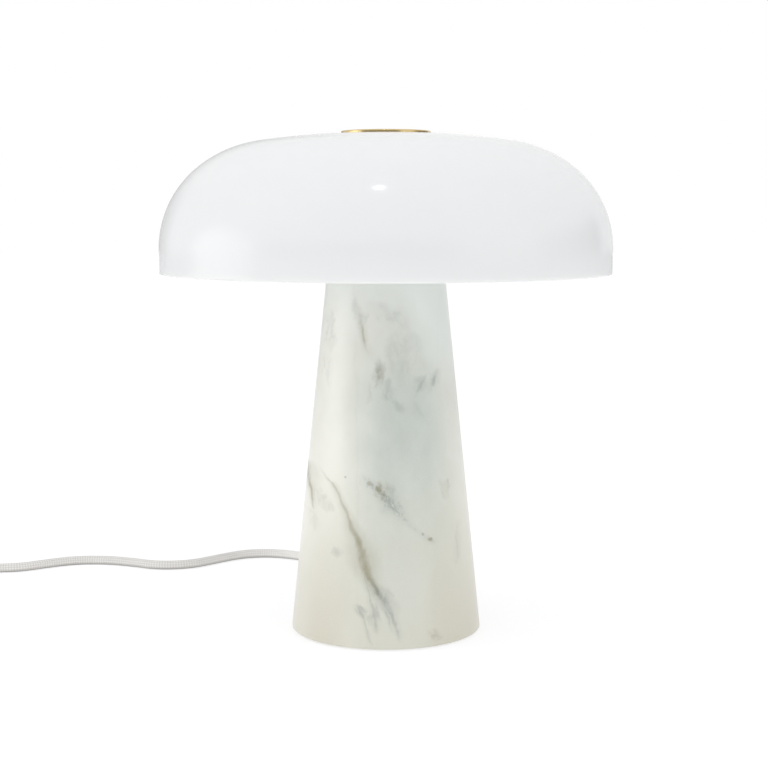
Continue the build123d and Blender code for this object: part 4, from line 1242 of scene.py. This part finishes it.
def plug_cutters():
    """A drill for each pin, and a row of grooves across the top and the bottom."""
    cutters = []
    for side in (-1, 1):
        place = (plug_middle.x + side * pin_half_spacing, plug_high.y, plug_middle.z)
        cutters.append(drill("pin_drill", pin_hole, -pin_hole_depth, 0.001, backwards, place))
        level = plug_middle.z + side * (plug_high.z - plug_middle.z + groove_radius - groove_depth)
        for row in range(groove_count):
            place = (plug_middle.x, plug_low.y + groove_start + groove_pitch * row, level)
            wide = groove_half + groove_growth * row
            cutters.append(drill("groove", groove_radius, -wide, wide, sideways, place))
    return cutters


cut_away(plug, plug_cutters())
flat_first(plug)
stand_for(plug, "plug_body")
smooth["plug_body"] = plug
print("plug body faces:", len(plug.data.polygons))

# %% [markdown]
# The rocker of the switch carries the two plain marks for on and off, a bar and a ring, which
# stand a little proud of its two sloping halves. Each is made flat at the origin and then laid
# on its half by one matrix.

# %% Marks on the rocker
rocker_middle = (switch_x, 0.035, 0.0132)
rocker_tilt = math.radians(7.5)
rocker_half = 0.0098
rocker_rise = 0.0012
rocker_dip = 0.0030
rocker_slope = math.atan(rocker_rise / rocker_half)
mark_out = 0.0052
mark_level = rocker_dip + rocker_rise * mark_out / rocker_half
mark_skin = 0.0002
on_mark_length = 0.0032
on_mark_width = 0.0006
on_mark_round = 0.00015
off_mark_inside = 0.0011
off_mark_outside = 0.0016


def lay_on_rocker(piece, side):
    """Lay a flat mark on one half of the tilted rocker."""
    lay = Matrix.Translation(rocker_middle) @ Matrix.Rotation(math.pi / 2, 4, "Z")
    lay = lay @ Matrix.Rotation(-rocker_tilt, 4, "Y")
    lay = lay @ Matrix.Translation((side * mark_out, 0.0, mark_level))
    piece.data.transform(lay @ Matrix.Rotation(-side * rocker_slope, 4, "Y"))
    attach(piece, "rocker")
    return piece


def on_mark():
    """A bar with soft edges."""
    form = bmesh.new()
    bmesh.ops.create_cube(form, size=1.0)
    bmesh.ops.scale(form, verts=form.verts, vec=(on_mark_length, on_mark_width, 2 * mark_skin))
    round_off(form, form.edges[:], on_mark_round, 2)
    return finish_mesh("on_mark", form)


def off_mark():
    """A flat ring."""
    ring = Lathe(off_mark_inside, -mark_skin).to(off_mark_outside, -mark_skin)
    ring.to(off_mark_outside, mark_skin).to(off_mark_inside, mark_skin)
    return ring.turn("off_mark", 40)


marks = [lay_on_rocker(on_mark(), 1), lay_on_rocker(off_mark(), -1)]
print("marks on the rocker:", len(marks))

# %% [markdown]
# A strap holds the coil: a woven band that goes once round the turns and closes on itself.
# A rounded rectangle is drawn round the turns, drawn out to the width of the band and given
# its thickness. The end that overlaps is a short second layer on top.

# %% Strap round the coil
strap_low, strap_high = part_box("coil_strap")
strap_size = strap_high - strap_low
strap_middle = (strap_low + strap_high) / 2
strap_skin = 0.0010
strap_corner = 0.0042
tab_length = 0.013
tab_share = 0.92
tab_shift = 0.001
tab_round = strap_skin * 0.4


def strap_loop():
    """A band round the turns, with its overlapping end as a short layer on top."""
    form = bmesh.new()
    bmesh.ops.create_grid(form, x_segments=1, y_segments=1, size=0.5)
    bmesh.ops.rotate(form, verts=form.verts, matrix=sideways)
    bmesh.ops.scale(form, verts=form.verts, vec=(1.0, strap_size.y, strap_size.z))
    bmesh.ops.translate(form, verts=form.verts, vec=(strap_low.x, strap_middle.y, strap_middle.z))
    round_off(form, form.verts[:], strap_corner, 8, "VERTICES")
    bmesh.ops.delete(form, geom=form.faces[:], context="FACES_ONLY")
    moved = verts_in(bmesh.ops.extrude_edge_only(form, edges=form.edges[:])["geom"])
    bmesh.ops.translate(form, verts=moved, vec=(strap_size.x, 0.0, 0.0))
    bmesh.ops.recalc_face_normals(form, faces=form.faces)
    bmesh.ops.solidify(form, geom=form.faces[:], thickness=strap_skin)
    tab = bmesh.ops.create_cube(form, size=1.0)["verts"]
    tab_place = (strap_middle.x, strap_middle.y + tab_shift, strap_high.z + strap_skin / 2)
    bmesh.ops.scale(form, verts=tab, vec=(strap_size.x * tab_share, tab_length, strap_skin))
    bmesh.ops.translate(form, verts=tab, vec=tab_place)
    ends = [edge for edge in form.edges if edge.verts[0] in tab and edge.verts[1] in tab]
    round_off(form, ends, tab_round, 3)
    return finish_mesh("strap_loop", form)


strap = strap_loop()
stand_for(strap, "coil_strap")

# %% [markdown]
# Now that the parts on the cord exist, the two lengths of cord stand for the solids of the cord,
# and the parts that lie on each are gathered in a list.

# %% What the cord carries
def parts_named(start):
    """The parts whose names start with a word, as they are shown."""
    return [smooth.get(name, solid) for name, solid in frame["nodes"].items() if name.startswith(start)]


stand_for(lamp_side_cord, "cord_lamp_side")
stand_for(plug_side_cord, "cord_plug_side", "cord_coil", "cord_tail")
parts_named("switch_") + marks
parts_named("plug_") + [strap]
print("cords declared:", lamp_side_cord.name, plug_side_cord.name)

# %% [markdown]
# The sleeve of the cord is a braid: one set of yarns winds to the left and another to the
# right, each over and under the other. The map of the tube runs in metres along and in turns
# around, so both sets are sloping stripes, and a checker of the two says which is on top.

# %% Braid finish
yarns = 12
yarn_pitch = 0.0020
yarn_depth = 0.0003
tight_and_highlight_stretch = (0.22, 0.12)


def braid_finish():
    """Two sets of yarns. Near the base the sleeve is drawn tight, so it is smoother there, and it is
    painted paler there as a painted highlight. Its underside is painted darker as painted shade.
    """
    finish, place = new_finish("cord_sleeve")
    u, v, unused = finish.split(finish.node("ShaderNodeUVMap", {"uv_map": "UVMap"}))
    right = v * yarns + u / yarn_pitch
    left = v * yarns - u / yarn_pitch
    checker = (finish.math("FLOOR", right) + finish.math("FLOOR", left)) % 2
    across_right = abs(right % 1 - 0.5) * 2
    across_left = abs(left % 1 - 0.5) * 2
    across = across_left + checker * (across_right - across_left)
    rounded = 1 - across * across
    threads = finish.math("SINE", across * 14) * 0.5 + 0.5
    fluff = finish.noise(place, 0.0006, 2.0)
    wear = finish.noise(place, 0.03, 2.0)
    tight_and_highlight = finish.step(u, *tight_and_highlight_stretch)
    pale = finish.mix(wear, tint(249, 247, 244), tint(243, 241, 238))
    grey = finish.mix(wear, tint(230, 227, 223), tint(222, 219, 215))
    colour = finish.mix(checker, grey, pale)
    gaps = finish.step(rounded, 0.40, 0.0) * (0.45 - 0.35 * tight_and_highlight)
    colour = finish.mix(gaps, colour, tint(176, 173, 170))
    # Painted highlight: near the base the sleeve is painted paler.
    colour = finish.mix(tight_and_highlight * 0.8, colour, tint(250, 248, 244))
    colour = finish.mix(fluff * 0.15, colour, tint(250, 250, 250))
    # Painted shade: the sleeve is painted darker on its underside, where it lies on the table.
    unused, unused, level = finish.split(place)
    colour = finish.mix(finish.step(level, 0.0030, 0.0004) * 0.7, colour, tint(150, 147, 144))
    relief = (rounded * 0.8 + threads * 0.15) * (1 - 0.7 * tight_and_highlight) + fluff * 0.1
    return finish.surface({
        "Base Color": colour,
        "Roughness": 0.62 + 0.16 * fluff,
        "Sheen Weight": 0.15,
        "Normal": finish.bump(relief, yarn_depth),
    })


sleeve = braid_finish()
for cord in (lamp_side_cord, plug_side_cord):
    cord.data.materials.clear()
    cord.data.materials.append(sleeve)
print("braid on:", lamp_side_cord.name, plug_side_cord.name)

# %% [markdown]
# The strap is plain nylon weave, crossed threads at right angles. The felt under the base is
# pressed wool, with short fibres that lie every way. Both are patterns in place, in metres.

# %% Strap and felt finishes
thread_pitch = 0.0009


def weave_finish():
    """Threads along and across the strap, over and under by turns."""
    finish, place = new_finish("nylon_weave")
    x, y, z = finish.split(place)
    across = finish.math("SINE", x * (math.tau / thread_pitch))
    along = finish.math("SINE", (y + z) * (math.tau / thread_pitch))
    weave = across * along * 0.5 + 0.5
    fluff = finish.noise(place, 0.0008, 2.0)
    colour = finish.mix(weave, tint(176, 176, 178), tint(214, 214, 214))
    return finish.surface({
        "Base Color": finish.mix(fluff * 0.25, colour, tint(236, 236, 236)),
        "Roughness": 0.70 + 0.15 * fluff,
        "Normal": finish.bump(weave + fluff * 0.3, 0.0002),
    })


def felt_finish():
    """Short fibres that lie both ways, with darker and paler tufts."""
    finish, place = new_finish("pressed_felt")
    fibres = finish.noise(place, 0.0016, 4.0, 1.2, pull=(1.0, 3.0, 1.0))
    cross = finish.noise(place, 0.0016, 4.0, 1.2, pull=(3.0, 1.0, 1.0))
    lie = finish.math("MAXIMUM", fibres, cross)
    tufts = finish.noise(place, 0.012, 2.0)
    colour = finish.mix(finish.step(lie, 0.42, 0.70), tint(74, 73, 71), tint(122, 120, 116))
    return finish.surface({
        "Base Color": finish.mix(tufts * 0.35, colour, tint(96, 94, 92)),
        "Roughness": 0.92 + 0.06 * tufts,
        "Sheen Weight": 0.35,
        "Normal": finish.bump(lie, 0.0005),
    })


strap.data.materials.append(weave_finish())
print("threads across the strap:", round(strap_size.x / thread_pitch))

# %% [markdown]
# Moulded parts take the fine grain of their steel mould, and their colour drifts a little in
# thick places. Plated and bare metals have a directional polish, dull patches and small
# scratches. One recipe serves each family, with other colours and sizes for each material.

# %% Moulded, coated and metal finishes
def moulded_finish(name, pale, deep, roughness, grain, depth):
    """A moulding with a grain of some size and depth in metres, and rubbed places."""
    finish, place = new_finish(name)
    drift = finish.noise(place, 0.02, 2.0)
    pores = finish.noise(place, grain, 2.0)
    rubs = finish.step(finish.noise(place, 0.006, 3.0, pull=(1.0, 5.0, 2.0)), 0.58, 0.72)
    return finish.surface({
        "Base Color": finish.mix(drift, tint(*pale), tint(*deep)),
        "Roughness": roughness + 0.10 * pores - 0.06 * rubs,
        "Normal": finish.bump(pores, depth),
    })


def metal_finish(name, bright, dull, roughness):
    """Plated or bare metal with a polish along one way, dull patches and scratches."""
    finish, place = new_finish(name)
    patches = finish.noise(place, 0.005, 3.0)
    grain = finish.noise(place, 0.004, 3.0, pull=(1.0, 1.0, 14.0))
    scratches = finish.step(finish.noise(place, 0.006, 2.0, pull=(9.0, 1.0, 9.0)), 0.62, 0.70)
    return finish.surface({
        "Base Color": finish.mix(patches * 0.8 + scratches * 0.2, tint(*bright), tint(*dull)),
        "Metallic": 1.0,
        "Roughness": roughness + 0.12 * patches + 0.10 * scratches,
        "Normal": finish.bump(grain, 0.00002),
    })


metals = {
    "bare_brass": ("plain_brass", (224, 192, 122), (186, 150, 88), 0.26),
    "zinc_steel": ("zinc_plate", (206, 208, 210), (164, 167, 172), 0.34),
    "nickel": ("nickel_plate", (216, 213, 206), (184, 181, 175), 0.20),
    "board_aluminium": ("led_board", (226, 228, 230), (200, 203, 206), 0.45),
}
mouldings = {
    "white_metal": ("powder_coat", (238, 238, 235), (232, 232, 229), 0.42, 0.0009, 0.00006),
    "soft_white": ("soft_vinyl", (234, 234, 231), (226, 226, 223), 0.50, 0.0011, 0.00005),
    "silicone": ("clear_silicone", (226, 229, 228), (214, 219, 219), 0.38, 0.003, 0.00003),
    "white_plastic": ("white_moulding", (240, 240, 237), (234, 234, 230), 0.34, 0.0006, 0.00004),
    "holder_plastic": ("holder_moulding", (230, 229, 224), (222, 221, 215), 0.40, 0.0008, 0.00005),
    "holder_ceramic": ("glazed_porcelain", (238, 236, 229), (229, 226, 217), 0.22, 0.004, 0.00008),
    "wire_brown": ("brown_wire", (112, 68, 44), (94, 55, 36), 0.42, 0.0010, 0.00003),
    "wire_blue": ("blue_wire", (66, 116, 178), (52, 96, 156), 0.42, 0.0010, 0.00003),
    "black_glass": ("black_insulator", (26, 24, 30), (18, 17, 20), 0.12, 0.004, 0.00003),
    "cord_braid": ("inner_sleeve", (232, 232, 231), (214, 214, 214), 0.66, 0.0007, 0.0002),
}
print("metals:", len(metals), "mouldings:", len(mouldings))

# %% Every part gets its finish
bulb_glow_depth = 0.0005
bulb_tints = (tint(244, 243, 238), tint(240, 238, 231))
finish_of = {slot: metal_finish(*recipe) for slot, recipe in metals.items()}
finish_of.update({slot: moulded_finish(*recipe) for slot, recipe in mouldings.items()})
finish_of["bulb_opal"] = opal_finish("bulb_glass", *bulb_tints, bulb_glow_depth)
finish_of["felt"] = felt_finish()
for node, solid in frame["nodes"].items():
    finish = finish_of.get(slot_of[node])
    if finish is None:
        continue
    shown = smooth.get(node, solid)
    shown.data.materials.clear()
    shown.data.materials.append(finish)
mark_finish = moulded_finish("mark_print", (150, 151, 153), (138, 139, 141), 0.5, 0.0004, 0.00002)
for mark in marks:
    mark.data.materials.append(mark_finish)
print("finishes shared out:", len(finish_of))
